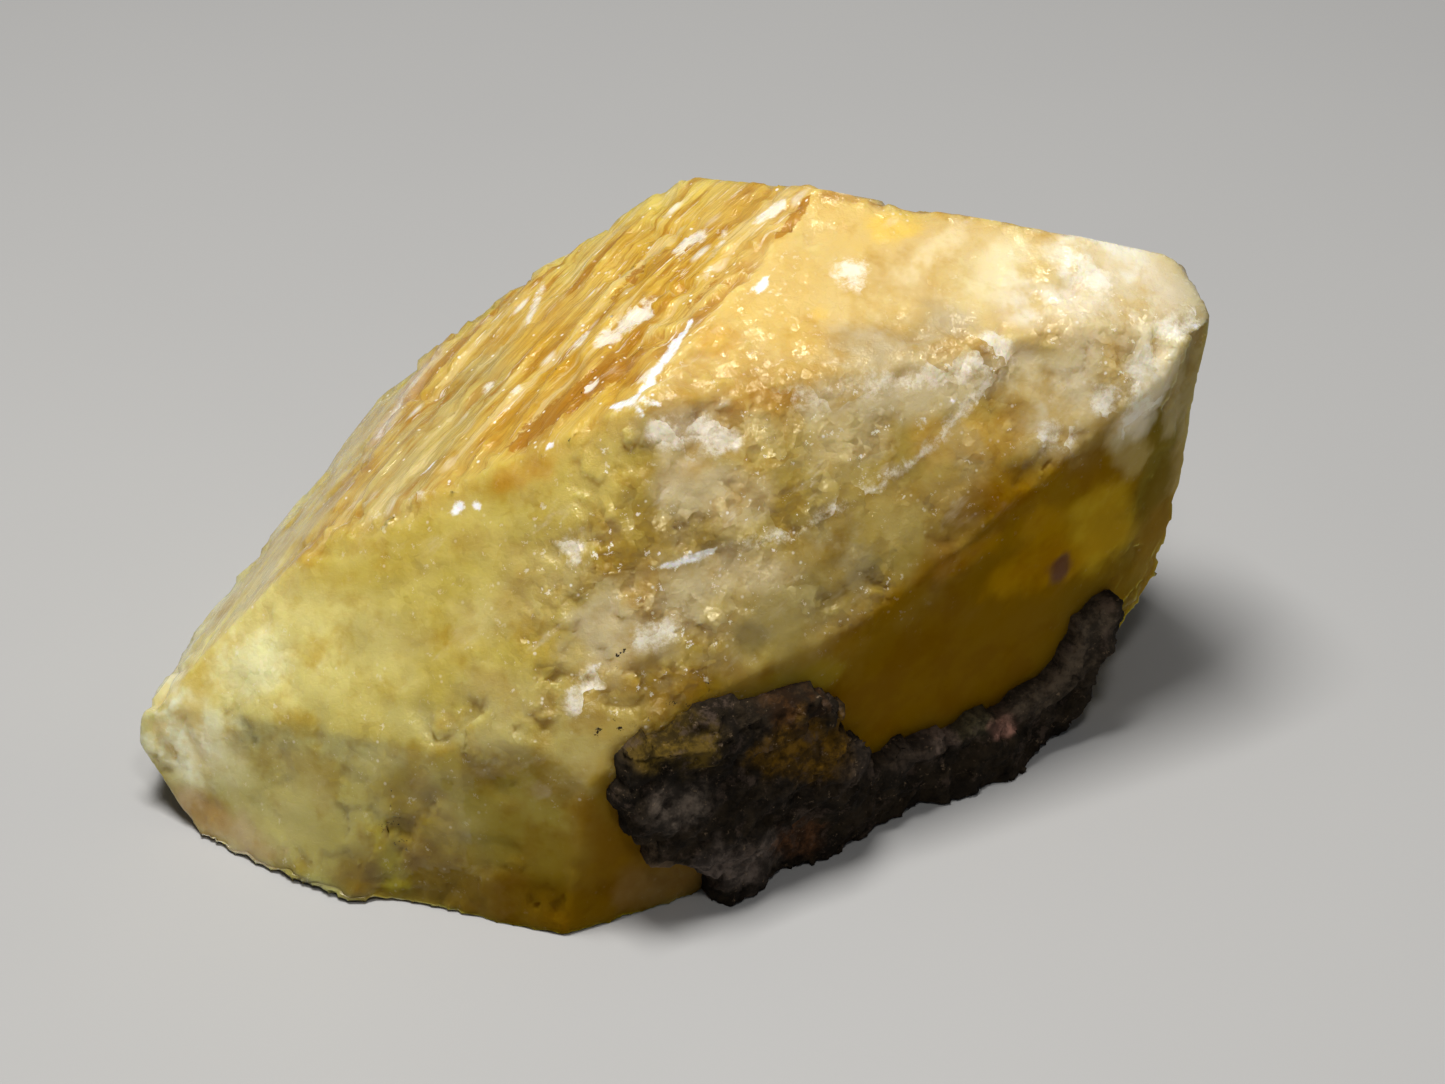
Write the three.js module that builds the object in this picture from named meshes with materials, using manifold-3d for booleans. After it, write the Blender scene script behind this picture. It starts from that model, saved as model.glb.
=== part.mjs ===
// Datolite crystal with a remnant of dark host rock, resting on its base facet.
//
// Millimetres, +Z up. The origin is the centre of the footprint box, on the
// resting plane. +X runs along the crystal's length, towards its blunt end,
// and -Y is the side that carries the host rock.
//
// The crystal is a convex body bounded by growth facets. Each facet is given
// the way a goniometer reads it:
//   bearing  direction its normal faces, in degrees round from -Y towards +X
//   tilt     angle of its normal above the horizontal, in degrees
//   reach    distance of its plane from the origin
// On top of the planes come the fine growth streaks of the streaked facets,
// thin growth steps, and small flake scars along the edges.

import * as THREE from 'three';
import { mergeVertices } from 'three/addons/utils/BufferGeometryUtils.js';
import Module from 'manifold-3d';

const wasm = await Module();
wasm.setup();

// ---------------------------------------------------------------------------
// Driving dimensions

const BLANK_SIZE = 80;
const ROCK_GAP = 0.3;

const FACETS = {
  base: { bearing: 0, tilt: -90, reach: 0 },

  // Upper side
  top: { bearing: 20, tilt: 70.5, reach: 14.85 },
  shoulder: { bearing: 46, tilt: 63, reach: 16.55 },
  crest: { bearing: -92, tilt: 67, reach: 13.4 },
  streaked: { bearing: -93, tilt: 58, reach: 12.4 },
  rim: { bearing: -103, tilt: 41, reach: 12.35 },

  // Front, from the pointed end to the blunt end
  frontLeft: { bearing: -33, tilt: 33, reach: 11.4 },
  frontMiddle: { bearing: -4, tilt: 28, reach: 10.85 },
  frontRight: { bearing: 18.5, tilt: 27, reach: 10.2 },
  undercut: { bearing: 36, tilt: -8, reach: 6.85 },
  lowerLeft: { bearing: -28.5, tilt: 10, reach: 10.9 },
  lowerMiddle: { bearing: -17.5, tilt: 7, reach: 10.25 },
  lowerRight: { bearing: 25, tilt: 0.5, reach: 7.75 },

  // Blunt end
  end: { bearing: 53, tilt: -8.5, reach: 9.45 },
  endUnderside: { bearing: 73, tilt: -38, reach: 8.1 },
  endCorner: { bearing: 100, tilt: 36.5, reach: 20.05 },
  endBack: { bearing: 108, tilt: -2, reach: 14.15 },

  // Back
  backSlope: { bearing: 163, tilt: 52.5, reach: 15.4 },
  backRight: { bearing: 158, tilt: 12, reach: 11.8 },
  backUnderside: { bearing: 178, tilt: -16, reach: 6.95 },
  backLeft: { bearing: -168, tilt: 8, reach: 10.5 },
  backShoulder: { bearing: -144, tilt: 30, reach: 11.7 },

  // Pointed end
  pointBack: { bearing: -122, tilt: 18, reach: 11.8 },
  pointSide: { bearing: -109, tilt: 5, reach: 13.15 },
  pointUnderside: { bearing: -75, tilt: -30, reach: 12.45 },
};

// The heel stands a little proud of the lower front facets at the pointed end.
const HEEL_REPLACES = ['lowerLeft', 'lowerMiddle'];
const HEEL_FACETS = {
  heelUpper: { bearing: -30, tilt: 19, reach: 11.3 },
  heelFoot: { bearing: -36, tilt: 18, reach: 11.85 },
  heelToe: { bearing: 4, tilt: 6, reach: 7.9 },
  heelStep: { bearing: 62, tilt: 4, reach: -2.7 },
};

// Growth streaks: long, low lenses that all run the same way over a facet.
// No streak stands further than the relief limit from any facet.
const STREAK_BEARING = 137;
const RELIEF_LIMIT = 0.22;
const STREAK_EDGE_MARGIN = 0.25;
const STREAK_SETS = [
  { facet: 'streaked', row: 0.62, step: 2.7, length: 3.3, width: 0.46, height: 0.2 },
  { facet: 'crest', row: 0.66, step: 2.5, length: 3.0, width: 0.46, height: 0.19 },
];

// Growth steps: parts of a facet that grew one thin layer further out. Each
// corner of an outline is [along, up] on the facet, from its own reach point.
const STEP_ROOT = 2.5;
const STEPS = [
  {
    facet: 'top',
    height: 0.09,
    outline: [[4.4, 3.5], [4.7, 3.2], [5.2, 3.25], [5.45, 3.7], [5.3, 4.15], [4.85, 4.25], [4.5, 4.0]],
  },
  {
    facet: 'top',
    height: 0.1,
    outline: [[6.7, 0.3], [7.1, 0.2], [7.9, 0.4], [8.2, 0.75], [7.8, 0.9], [7.1, 0.7]],
  },
  {
    facet: 'top',
    height: 0.08,
    outline: [[9.2, 0.7], [10.2, 0.4], [14, 0.6], [14, 8], [10.9, 8], [9.7, 4.3], [10.0, 2.6]],
  },
  {
    facet: 'frontRight',
    alsoOn: 'frontMiddle',
    height: 0.13,
    outline: [
      [-3.9, 6.3], [-2.3, 6.3], [-0.6, 6.5], [0.7, 6.35], [1.7, 6.6], [3.5, 7.1], [4.3, 7.3],
      [5.4, 8.0], [6.0, 8.8], [6.7, 9.1], [8.0, 9.8], [10.5, 13], [-2.6, 13], [-2.9, 9.4],
      [-3.6, 8.0],
    ],
  },
  {
    facet: 'frontRight',
    height: 0.09,
    outline: [[-1.6, 4.5], [0.7, 4.2], [2.9, 4.9], [3.8, 6.0], [1.3, 5.7], [-0.7, 5.3]],
  },
  {
    facet: 'frontMiddle',
    height: 0.09,
    outline: [
      [-2.4, 2.3], [-1.9, 1.8], [-1.1, 1.9], [-0.6, 2.6], [-0.7, 3.5], [-1.3, 3.9], [-2.0, 3.4],
    ],
  },
  {
    facet: 'frontLeft',
    height: 0.11,
    outline: [
      [-7.0, 2.0], [-6.4, 1.3], [-4.9, 1.8], [-3.2, 3.1], [-1.4, 4.2], [-0.9, 5.3], [-2.7, 4.9],
      [-5.2, 3.5],
    ],
  },
  {
    facet: 'frontLeft',
    height: 0.09,
    outline: [[-3.4, 0.3], [-3.1, -0.6], [-1.6, -0.3], [-0.1, 0.9], [-0.6, 1.9], [-2.0, 1.3]],
  },
  {
    facet: 'undercut',
    height: 0.1,
    outline: [[6.9, 7.0], [7.7, 6.6], [8.9, 7.2], [12, 8.2], [12, 14], [8.6, 9.6], [7.5, 8.4]],
  },
  {
    facet: 'end',
    height: 0.1,
    outline: [[-4, 9.5], [1.0, 9.2], [3.0, 10.2], [6, 10.0], [6, 16], [-4, 16]],
  },
  {
    facet: 'backSlope',
    height: 0.13,
    outline: [[-6.5, -6], [-2.0, -4.4], [-0.8, -3.2], [2.4, -2.9], [4.6, -4.2], [4.6, -14], [-6.5, -14]],
  },
  {
    facet: 'backRight',
    height: 0.14,
    outline: [[-9, 4.4], [-5.0, 3.9], [-3.1, 5.3], [0.2, 5.6], [2.6, 6.9], [2.6, 14], [-9, 14]],
  },
  {
    facet: 'backShoulder',
    height: 0.12,
    outline: [[-2.2, 1.2], [0.4, 0.8], [2.5, 2.2], [3.1, 4.4], [0.9, 5.1], [-1.5, 3.6]],
  },
  {
    facet: 'pointBack',
    height: 0.11,
    outline: [[-3.0, 3.0], [-0.8, 2.4], [1.6, 3.3], [2.0, 5.2], [-0.4, 6.0], [-2.6, 4.9]],
  },
];

// Flake scars: small hollows struck out of the edges between two facets.
const SCAR_EDGES = [
  { facets: ['top', 'frontRight'], spacing: 1.7, size: 0.36 },
  { facets: ['streaked', 'frontLeft'], spacing: 1.5, size: 0.34 },
  { facets: ['frontRight', 'undercut'], spacing: 1.9, size: 0.3 },
  { facets: ['frontRight', 'lowerRight'], spacing: 1.8, size: 0.3 },
  { facets: ['shoulder', 'frontRight'], spacing: 1.2, size: 0.32 },
  { facets: ['shoulder', 'end'], spacing: 0.9, size: 0.34 },
  { facets: ['undercut', 'end'], spacing: 1.6, size: 0.34 },
  { facets: ['end', 'endBack'], spacing: 1.6, size: 0.36 },
  { facets: ['top', 'backSlope'], spacing: 1.8, size: 0.3 },
  { facets: ['streaked', 'rim'], spacing: 1.9, size: 0.26 },
  { facets: ['lowerMiddle', 'base'], spacing: 1.3, size: 0.42 },
  { facets: ['lowerRight', 'base'], spacing: 1.3, size: 0.38 },
  { facets: ['backSlope', 'backRight'], spacing: 2.0, size: 0.4 },
  { facets: ['backRight', 'backUnderside'], spacing: 2.1, size: 0.4 },
  { facets: ['backShoulder', 'pointBack'], spacing: 2.0, size: 0.36 },
];

// Host rock: a thin crust on the lower front, drawn in the facing plane of the
// undercut facet. Each corner of its outline is [along, height above base].
const ROCK_BEARING = 36;
const ROCK_OUTLINE = [
  [-6.8, 5.9], [-5.5, 6.5], [-4.1, 6.75], [-2.3, 6.7], [-1.1, 6.45], [-0.2, 6.0], [0.0, 5.2],
  [0.4, 4.3], [0.9, 3.5], [1.7, 2.75], [3.4, 2.6], [4.9, 2.6], [6.3, 2.5], [7.6, 2.7],
  [8.3, 3.0], [8.6, 3.7], [9.0, 4.5], [9.5, 5.0], [9.9, 4.6], [9.7, 2.4], [9.3, -0.6],
  [-3.6, -0.6], [-4.2, 1.0], [-4.8, 1.7], [-5.6, 1.9], [-6.1, 2.6], [-6.6, 3.6], [-6.7, 4.7],
];
const ROCK_THICKNESS = 0.9;
const ROCK_THINNEST = 0.55;
const ROCK_EDGE_THICKNESS = 0.2;
const ROCK_EDGE_SLOPE = 1.5;
const ROCK_LUMP = 0.34;
const ROCK_LUMP_SIZE = 1.5;
const ROCK_GRIT = 0.24;
const ROCK_GRIT_SIZE = 0.55;
const ROCK_FOOT = 0.04;
const ROCK_CELL = 0.33;
const ROCK_OUTSIDE = -0.6;

const CRYSTAL_COLOUR = 0xc9b064;
const ROCK_COLOUR = 0x4a3c30;

// ---------------------------------------------------------------------------
// Small helpers

const UP = new THREE.Vector3(0, 0, 1);
const UNIT = new THREE.Vector3(1, 1, 1);

// Repeatable random numbers between 0 and 1.
function randomStream(seed) {
  let state = seed;
  return () => {
    state = (state + 0x6d2b79f5) | 0;
    let mixed = Math.imul(state ^ (state >>> 15), 1 | state);
    mixed = (mixed + Math.imul(mixed ^ (mixed >>> 7), 61 | mixed)) ^ mixed;
    return ((mixed ^ (mixed >>> 14)) >>> 0) / 4294967296;
  };
}

function normalOf({ bearing, tilt }) {
  const turn = THREE.MathUtils.degToRad(bearing);
  const rise = THREE.MathUtils.degToRad(tilt);
  const level = Math.cos(rise);
  return new THREE.Vector3(level * Math.sin(turn), -level * Math.cos(turn), Math.sin(rise));
}

function solidOf(geometry, matrix) {
  const bare = geometry.clone();
  bare.deleteAttribute('normal');
  bare.deleteAttribute('uv');
  if (matrix) {
    bare.applyMatrix4(matrix);
  }
  const merged = mergeVertices(bare, 1e-5);
  return new wasm.Manifold(new wasm.Mesh({
    numProp: 3,
    vertProperties: new Float32Array(merged.attributes.position.array),
    triVerts: new Uint32Array(merged.index.array),
  }));
}

// A solid's main body, without any crumb that a cut has left loose.
function mainPiece(solid) {
  return solid.decompose().reduce((largest, piece) => (
    piece.volume() > largest.volume() ? piece : largest
  ));
}

function geometryOf(solid) {
  const mesh = solid.getMesh();
  const positions = new Float32Array(mesh.numVert * 3);
  for (let vertex = 0; vertex < mesh.numVert; vertex += 1) {
    for (let axis = 0; axis < 3; axis += 1) {
      positions[vertex * 3 + axis] = mesh.vertProperties[vertex * mesh.numProp + axis];
    }
  }
  const geometry = new THREE.BufferGeometry();
  geometry.setAttribute('position', new THREE.BufferAttribute(positions, 3));
  geometry.setIndex(new THREE.BufferAttribute(new Uint32Array(mesh.triVerts), 1));
  geometry.computeVertexNormals();
  return geometry;
}

// The block that lies outside a facet, with its near face on the facet's plane.
function blockOutside(facet, offset) {
  const normal = normalOf(facet);
  const turn = new THREE.Quaternion().setFromUnitVectors(UP, normal);
  const centre = normal.clone().multiplyScalar(facet.reach + offset + BLANK_SIZE / 2);
  const matrix = new THREE.Matrix4().compose(centre, turn, UNIT);
  return solidOf(new THREE.BoxGeometry(BLANK_SIZE, BLANK_SIZE, BLANK_SIZE), matrix);
}

function facetedBody(facets, offset = 0) {
  const blank = new THREE.BoxGeometry(BLANK_SIZE / 2, BLANK_SIZE / 2, BLANK_SIZE / 2);
  let body = solidOf(blank);
  for (const facet of Object.values(facets)) {
    body = body.subtract(blockOutside(facet, offset));
  }
  return body;
}

// A frame on a facet: normal, the level direction along it, and straight up it.
// A bearing turns the along direction to run that way instead.
function frameOn(name, bearing) {
  const facet = FACETS[name];
  const normal = normalOf(facet);
  const heading = bearing === undefined ? facet.bearing + 90 : bearing;
  const along = normalOf({ bearing: heading, tilt: 0 });
  along.addScaledVector(normal, -along.dot(normal)).normalize();
  const up = new THREE.Vector3().crossVectors(normal, along);
  const origin = normal.clone().multiplyScalar(facet.reach);
  return { origin, normal, along, up };
}

function pointOn(frame, along, up, height) {
  return frame.origin.clone()
    .addScaledVector(frame.along, along)
    .addScaledVector(frame.up, up)
    .addScaledVector(frame.normal, height);
}

function matrixOn(frame, position, turnDegrees, scale) {
  const basis = new THREE.Matrix4().makeBasis(frame.along, frame.up, frame.normal);
  const turn = new THREE.Matrix4().makeRotationZ(THREE.MathUtils.degToRad(turnDegrees));
  const size = new THREE.Matrix4().makeScale(scale.x, scale.y, scale.z);
  return basis.multiply(turn).multiply(size).setPosition(position);
}

// True where a point lies inside every facet but the skipped ones, by a margin.
function insideFacets(point, skipped, margin) {
  return Object.entries(FACETS).every(([name, facet]) => (
    skipped.includes(name) || normalOf(facet).dot(point) < facet.reach - margin
  ));
}

// ---------------------------------------------------------------------------
// Surface features

function streaks() {
  const random = randomStream(11);
  const lens = new THREE.OctahedronGeometry(1, 1);
  const solids = [];
  for (const set of STREAK_SETS) {
    const frame = frameOn(set.facet, STREAK_BEARING);
    for (let row = -14; row < 14; row += set.row) {
      for (let place = -14; place < 14; place += set.step) {
        const along = place + (random() - 0.5) * set.step;
        const up = row + (random() - 0.5) * set.row * 0.5;
        const length = set.length * (0.55 + 0.75 * random());
        const width = set.width * (0.6 + 0.8 * random());
        const height = set.height * (0.5 + 0.9 * random());
        const turn = (random() - 0.5) * 8;
        const centre = pointOn(frame, along, up, -0.03);
        if (!insideFacets(centre, [set.facet], STREAK_EDGE_MARGIN)) {
          continue;
        }
        const scale = new THREE.Vector3(length / 2, width / 2, height);
        solids.push(solidOf(lens, matrixOn(frame, centre, turn, scale)));
      }
    }
  }
  return solids;
}

function stepSolid({ facet, alsoOn, height, outline }) {
  const frame = frameOn(facet);
  const shape = new THREE.Shape(outline.map(([along, up]) => new THREE.Vector2(along, up)));
  const prism = new THREE.ExtrudeGeometry(shape, { depth: STEP_ROOT + height, bevelEnabled: false });
  const column = solidOf(prism, matrixOn(frame, pointOn(frame, 0, 0, -STEP_ROOT), 0, UNIT));
  const raised = { ...FACETS };
  for (const name of alsoOn ? [facet, alsoOn] : [facet]) {
    raised[name] = { ...FACETS[name], reach: FACETS[name].reach + height };
  }
  return facetedBody(raised).intersect(column);
}

function scars() {
  const random = randomStream(29);
  const flake = new THREE.IcosahedronGeometry(1, 0);
  const solids = [];
  for (const edge of SCAR_EDGES) {
    const [first, second] = edge.facets.map((name) => normalOf(FACETS[name]));
    const [reachFirst, reachSecond] = edge.facets.map((name) => FACETS[name].reach);
    const cosine = first.dot(second);
    const share = 1 - cosine * cosine;
    const weightFirst = (reachFirst - reachSecond * cosine) / share;
    const weightSecond = (reachSecond - reachFirst * cosine) / share;
    const origin = first.clone().multiplyScalar(weightFirst).addScaledVector(second, weightSecond);
    const along = new THREE.Vector3().crossVectors(first, second).normalize();
    const outward = first.clone().add(second).normalize();
    for (let place = -24; place < 24; place += edge.spacing) {
      const size = edge.size * (0.6 + 0.8 * random());
      const shift = place + (random() - 0.5) * edge.spacing;
      const stretch = 1 + 0.9 * random();
      const spin = random() * 360;
      const point = origin.clone().addScaledVector(along, shift);
      if (!insideFacets(point, edge.facets, size * 0.4)) {
        continue;
      }
      const centre = point.addScaledVector(outward, size * 0.45);
      const across = new THREE.Vector3().crossVectors(outward, along);
      const frame = { along, up: across, normal: outward };
      const scale = new THREE.Vector3(size * stretch, size, size * 0.8);
      const tumble = new THREE.Matrix4().makeRotationAxis(
        UNIT.clone().normalize(),
        THREE.MathUtils.degToRad(spin),
      );
      solids.push(solidOf(flake, matrixOn(frame, centre, 0, scale).multiply(tumble)));
    }
  }
  return solids;
}

function crystalSolid() {
  const heelFacets = { ...FACETS, ...HEEL_FACETS };
  for (const name of HEEL_REPLACES) {
    delete heelFacets[name];
  }
  const relief = facetedBody(FACETS, RELIEF_LIMIT);
  let crystal = facetedBody(FACETS).add(facetedBody(heelFacets));
  for (const solid of streaks()) {
    crystal = crystal.add(solid.intersect(relief));
  }
  for (const step of STEPS) {
    crystal = crystal.add(stepSolid(step));
  }
  for (const solid of scars()) {
    crystal = crystal.subtract(solid);
  }
  return mainPiece(crystal);
}

// ---------------------------------------------------------------------------
// Host rock

function latticeValue(column, row, seed) {
  const wave = Math.sin(column * 127.1 + row * 311.7 + seed * 74.7) * 43758.5453;
  return 2 * (wave - Math.floor(wave)) - 1;
}

// Smooth noise between -1 and 1 over the rock's facing plane.
function noise(along, height, size, seed) {
  const x = along / size;
  const y = height / size;
  const column = Math.floor(x);
  const row = Math.floor(y);
  const easeX = THREE.MathUtils.smoothstep(x - column, 0, 1);
  const easeY = THREE.MathUtils.smoothstep(y - row, 0, 1);
  const lower = THREE.MathUtils.lerp(
    latticeValue(column, row, seed),
    latticeValue(column + 1, row, seed),
    easeX,
  );
  const upper = THREE.MathUtils.lerp(
    latticeValue(column, row + 1, seed),
    latticeValue(column + 1, row + 1, seed),
    easeX,
  );
  return THREE.MathUtils.lerp(lower, upper, easeY);
}

// Distance from a point to the rock's outline, positive inside it.
function insetFromOutline(along, height) {
  let inside = false;
  let nearest = Infinity;
  ROCK_OUTLINE.forEach(([startX, startY], index) => {
    const [endX, endY] = ROCK_OUTLINE[(index + 1) % ROCK_OUTLINE.length];
    const runX = endX - startX;
    const runY = endY - startY;
    const part = ((along - startX) * runX + (height - startY) * runY) / (runX ** 2 + runY ** 2);
    const held = THREE.MathUtils.clamp(part, 0, 1);
    const distance = Math.hypot(along - startX - held * runX, height - startY - held * runY);
    nearest = Math.min(nearest, distance);
    const crosses = (startY > height) !== (endY > height);
    if (crosses && along < startX + (runX * (height - startY)) / runY) {
      inside = !inside;
    }
  });
  return inside ? nearest : -nearest;
}

function rockThickness(along, height) {
  const wander = 0.35 * noise(along, height, 0.9, 5) + 0.15 * noise(along, height, 0.45, 6);
  const inset = insetFromOutline(along, height) + wander;
  if (inset < 0) {
    return ROCK_OUTSIDE;
  }
  const lumps = ROCK_LUMP * noise(along, height, ROCK_LUMP_SIZE, 1);
  const grit = ROCK_GRIT * noise(along, height, ROCK_GRIT_SIZE, 2);
  const full = Math.max(ROCK_THICKNESS + lumps + grit, ROCK_THINNEST);
  const taper = ROCK_GAP + ROCK_EDGE_THICKNESS + inset * ROCK_EDGE_SLOPE;
  return Math.min(full, taper);
}

// How far the crystal reaches along the rock's facing direction at a point.
function crystalReach(point, facing) {
  let reach = Infinity;
  for (const facet of Object.values(FACETS)) {
    const normal = normalOf(facet);
    const slope = normal.dot(facing);
    if (slope > 0.05) {
      reach = Math.min(reach, (facet.reach - normal.dot(point)) / slope);
    }
  }
  return reach;
}

function rockSolid() {
  const facing = normalOf({ bearing: ROCK_BEARING, tilt: 0 });
  const along = new THREE.Vector3().crossVectors(UP, facing);
  const xs = ROCK_OUTLINE.map(([x]) => x);
  const ys = ROCK_OUTLINE.map(([, y]) => y);
  const left = Math.min(...xs) - 1;
  const width = Math.max(...xs) + 1 - left;
  const height = Math.max(...ys) + 1 - ROCK_FOOT;
  const columns = Math.round(width / ROCK_CELL);
  const rows = Math.round(height / ROCK_CELL);
  const sheet = new THREE.BoxGeometry(width, height, 2, columns, rows, 1);
  const places = sheet.attributes.position;
  for (let index = 0; index < places.count; index += 1) {
    const x = places.getX(index) + left + width / 2;
    const y = places.getY(index) + ROCK_FOOT + height / 2;
    const outer = places.getZ(index) > 0;
    const point = along.clone().multiplyScalar(x).addScaledVector(UP, y);
    const surface = crystalReach(point, facing);
    const depth = outer ? surface + rockThickness(x, y) : surface - 2;
    point.addScaledVector(facing, depth);
    places.setXYZ(index, point.x, point.y, point.z);
  }
  return mainPiece(solidOf(sheet).subtract(facetedBody(FACETS, ROCK_GAP)));
}

// ---------------------------------------------------------------------------
// The part

function partMesh(name, solid, colour, roughness) {
  const material = new THREE.MeshStandardMaterial({ color: colour, roughness, metalness: 0 });
  const mesh = new THREE.Mesh(geometryOf(solid), material);
  mesh.name = name;
  return mesh;
}

const part = new THREE.Group();
part.add(partMesh('crystal', crystalSolid(), CRYSTAL_COLOUR, 0.35));
part.add(partMesh('matrix_crust', rockSolid(), ROCK_COLOUR, 0.85));

export default part;
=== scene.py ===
"""A datolite crystal with a plate of dark host rock: relief, materials, light and camera."""

import itertools
import math
from types import SimpleNamespace

import bpy
import numpy as np
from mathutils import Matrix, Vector
from mathutils.bvhtree import BVHTree


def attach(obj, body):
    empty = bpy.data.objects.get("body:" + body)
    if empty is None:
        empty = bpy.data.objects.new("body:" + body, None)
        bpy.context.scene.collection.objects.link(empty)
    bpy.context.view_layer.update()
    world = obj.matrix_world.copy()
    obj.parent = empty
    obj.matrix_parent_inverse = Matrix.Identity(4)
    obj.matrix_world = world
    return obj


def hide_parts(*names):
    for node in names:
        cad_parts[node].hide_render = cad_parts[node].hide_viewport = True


MM = 0.001
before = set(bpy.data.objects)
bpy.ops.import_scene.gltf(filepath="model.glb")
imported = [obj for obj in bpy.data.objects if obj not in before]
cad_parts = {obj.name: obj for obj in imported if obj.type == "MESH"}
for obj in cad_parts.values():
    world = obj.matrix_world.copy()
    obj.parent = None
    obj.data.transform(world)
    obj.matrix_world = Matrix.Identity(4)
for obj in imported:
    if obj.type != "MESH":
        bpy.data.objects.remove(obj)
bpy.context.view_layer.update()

# Mesh fineness in mm.
CRYSTAL_GRAIN = 0.15
ROCK_GRAIN = 0.08

# Facets by bearing and tilt in degrees. Bearing 0 faces the side with the host rock and 90 the
# blunt end; tilt 90 is up.
FACETS = {
    "top": (20, 70.5),
    "shoulder": (46, 63),
    "crest": (-92, 67),
    "streaked": (-93, 58),
    "rim": (-103, 41),
    "front_left": (-33, 33),
    "front_middle": (-4, 28),
    "front_right": (18.5, 27),
    "undercut": (36, -8),
    "lower_left": (-28.5, 10),
    "lower_middle": (-17.5, 7),
    "lower_right": (25, 0.5),
    "end": (53, -8.5),
    "end_underside": (73, -38),
    "end_corner": (100, 36.5),
    "end_back": (108, -2),
    "back_slope": (163, 52.5),
    "back_right": (158, 12),
    "back_underside": (178, -16),
    "back_left": (-168, 8),
    "back_shoulder": (-144, 30),
    "point_back": (-122, 18),
    "point_side": (-109, 5),
    "point_underside": (-75, -30),
    "base": (0, -90),
}
# How wide one facet fades into the next, in mm: in the relief, along worn edges and in the colours.
FACET_SPREAD = 0.16
EDGE_SPREAD = 0.42
TINT_SPREAD = 0.30
# How far the colours' borders stray from the facets' edges, and the size of their bends, in mm.
TINT_WANDER = 1.1
WANDER_SIZE = 2.2
# The part of the CAD solid's growth steps that is worn away.
STEP_SOFTENING = 0.45

# Depths of the crystal's relief in mm.
STREAK_DEPTH = 0.09
THREAD_DEPTH = 0.05
BREAK_DEPTH = 0.06
FLAKE_DEPTH = 0.06
SMALL_FLAKE_DEPTH = 0.035
WAVE_DEPTH = 0.03
HILL_DEPTH = 0.25
HILL_STEP_DEPTH = 0.16
EDGE_WEAR = 0.05
CHIP_DEPTH = 0.16

# Depths of the host rock's relief, and how it meets the crystal, in mm.
GRIT_DEPTH = 0.08
FINE_GRIT_DEPTH = 0.09
LUMP_DEPTH = 0.30
HOLE_DEPTH = 0.08
ROCK_GAP_LIMIT = 0.6
ROCK_ROOT = 0.12

# The growth streaks run along this line on the streaked facet.
STREAK_ALONG = np.array((0.633, 0.679, 0.373))
# White wisps in the front run mostly along this line.
WISP_ALONG = (0.80, 0.25, 0.54)

# Colours, linear.
HONEY = (0.68, 0.43, 0.060)
# White of frost and of the streaks' white threads, and of the painted sparkles and glints.
FROST_AND_SPARKLE_WHITE = (0.95, 0.89, 0.74)
LEMON = (0.62, 0.51, 0.12)
GOLD = (0.58, 0.41, 0.085)
LILAC = (0.66, 0.555, 0.34)
OLIVE = (0.25, 0.17, 0.010)
# Deep amber, dark also as painted shade on the facets that face down.
SHADED_AMBER = (0.22, 0.110, 0.000)
OCHRE = (0.42, 0.18, 0.010)
PALE_GREEN = (0.72, 0.68, 0.38)
PINK = (0.56, 0.38, 0.22)
CLOUD_AND_FLAKE_LIGHT = (0.70, 0.57, 0.24)
VEIL = (0.50, 0.43, 0.27)
STREAK_CREAM = (0.84, 0.68, 0.32)
# White of the painted highlights.
HIGHLIGHT_WHITE = (1.0, 0.99, 0.96)
SPECK_BLACK = (0.03, 0.02, 0.012)
ROCK_BROWN = (0.028, 0.019, 0.010)
ROCK_BLACK = (0.004, 0.003, 0.002)
ROCK_MAUVE = (0.11, 0.075, 0.055)
ROCK_TAN = (0.26, 0.18, 0.11)
# Filters that multiply a colour: in honey clouds, in pale clouds and as painted shade on the
# lowered side of a flake.
HONEY_FILTER = (0.80, 0.66, 0.34)
PALE_FILTER = (1.15, 1.22, 1.5)
FLAKE_SHADE_FILTER = (0.80, 0.65, 0.36)
# The tint of reflections, and how far red, green and blue light spreads in the crystal.
GLOSS_TINT = (1.0, 0.90, 0.66)
LIGHT_SPREAD = (1.0, 0.75, 0.25)

# For each facet, its colour and how sugary it is, from 0, clear, to 1, broken all over by flakes.
FACET_LOOKS = {
    "top": ((0.70, 0.51, 0.21), 0.16),
    "shoulder": ((0.80, 0.71, 0.52), 0.60),
    "crest": (HONEY, 0.15),
    "streaked": (HONEY, 0.15),
    "rim": ((0.66, 0.56, 0.24), 0.10),
    "front_left": ((0.60, 0.48, 0.10), 0.30),
    "front_middle": ((0.46, 0.32, 0.055), 1.0),
    "front_right": ((0.44, 0.31, 0.06), 1.0),
    # The undercut and lower right are deep amber, darkened also as painted shade.
    "undercut": (SHADED_AMBER, 0.03),
    "lower_left": ((0.50, 0.44, 0.14), 0.20),
    "lower_middle": (OLIVE, 0.12),
    "lower_right": (SHADED_AMBER, 0.03),
    # The end's olive gold is darkened partly as painted shade.
    "end": ((0.20, 0.145, 0.018), 0.25),
    "end_underside": (OLIVE, 0.20),
    "end_corner": ((0.40, 0.34, 0.18), 0.80),
    "end_back": ((0.30, 0.24, 0.09), 0.40),
    "back_slope": (GOLD, 0.80),
    "back_right": ((0.56, 0.40, 0.11), 0.70),
    "back_underside": (SHADED_AMBER, 0.10),
    "back_left": (GOLD, 0.60),
    "back_shoulder": (LEMON, 0.50),
    "point_back": (PALE_GREEN, 0.25),
    "point_side": (PALE_GREEN, 0.20),
    "point_underside": (OLIVE, 0.15),
    "base": (OLIVE, 0.15),
}

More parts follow.
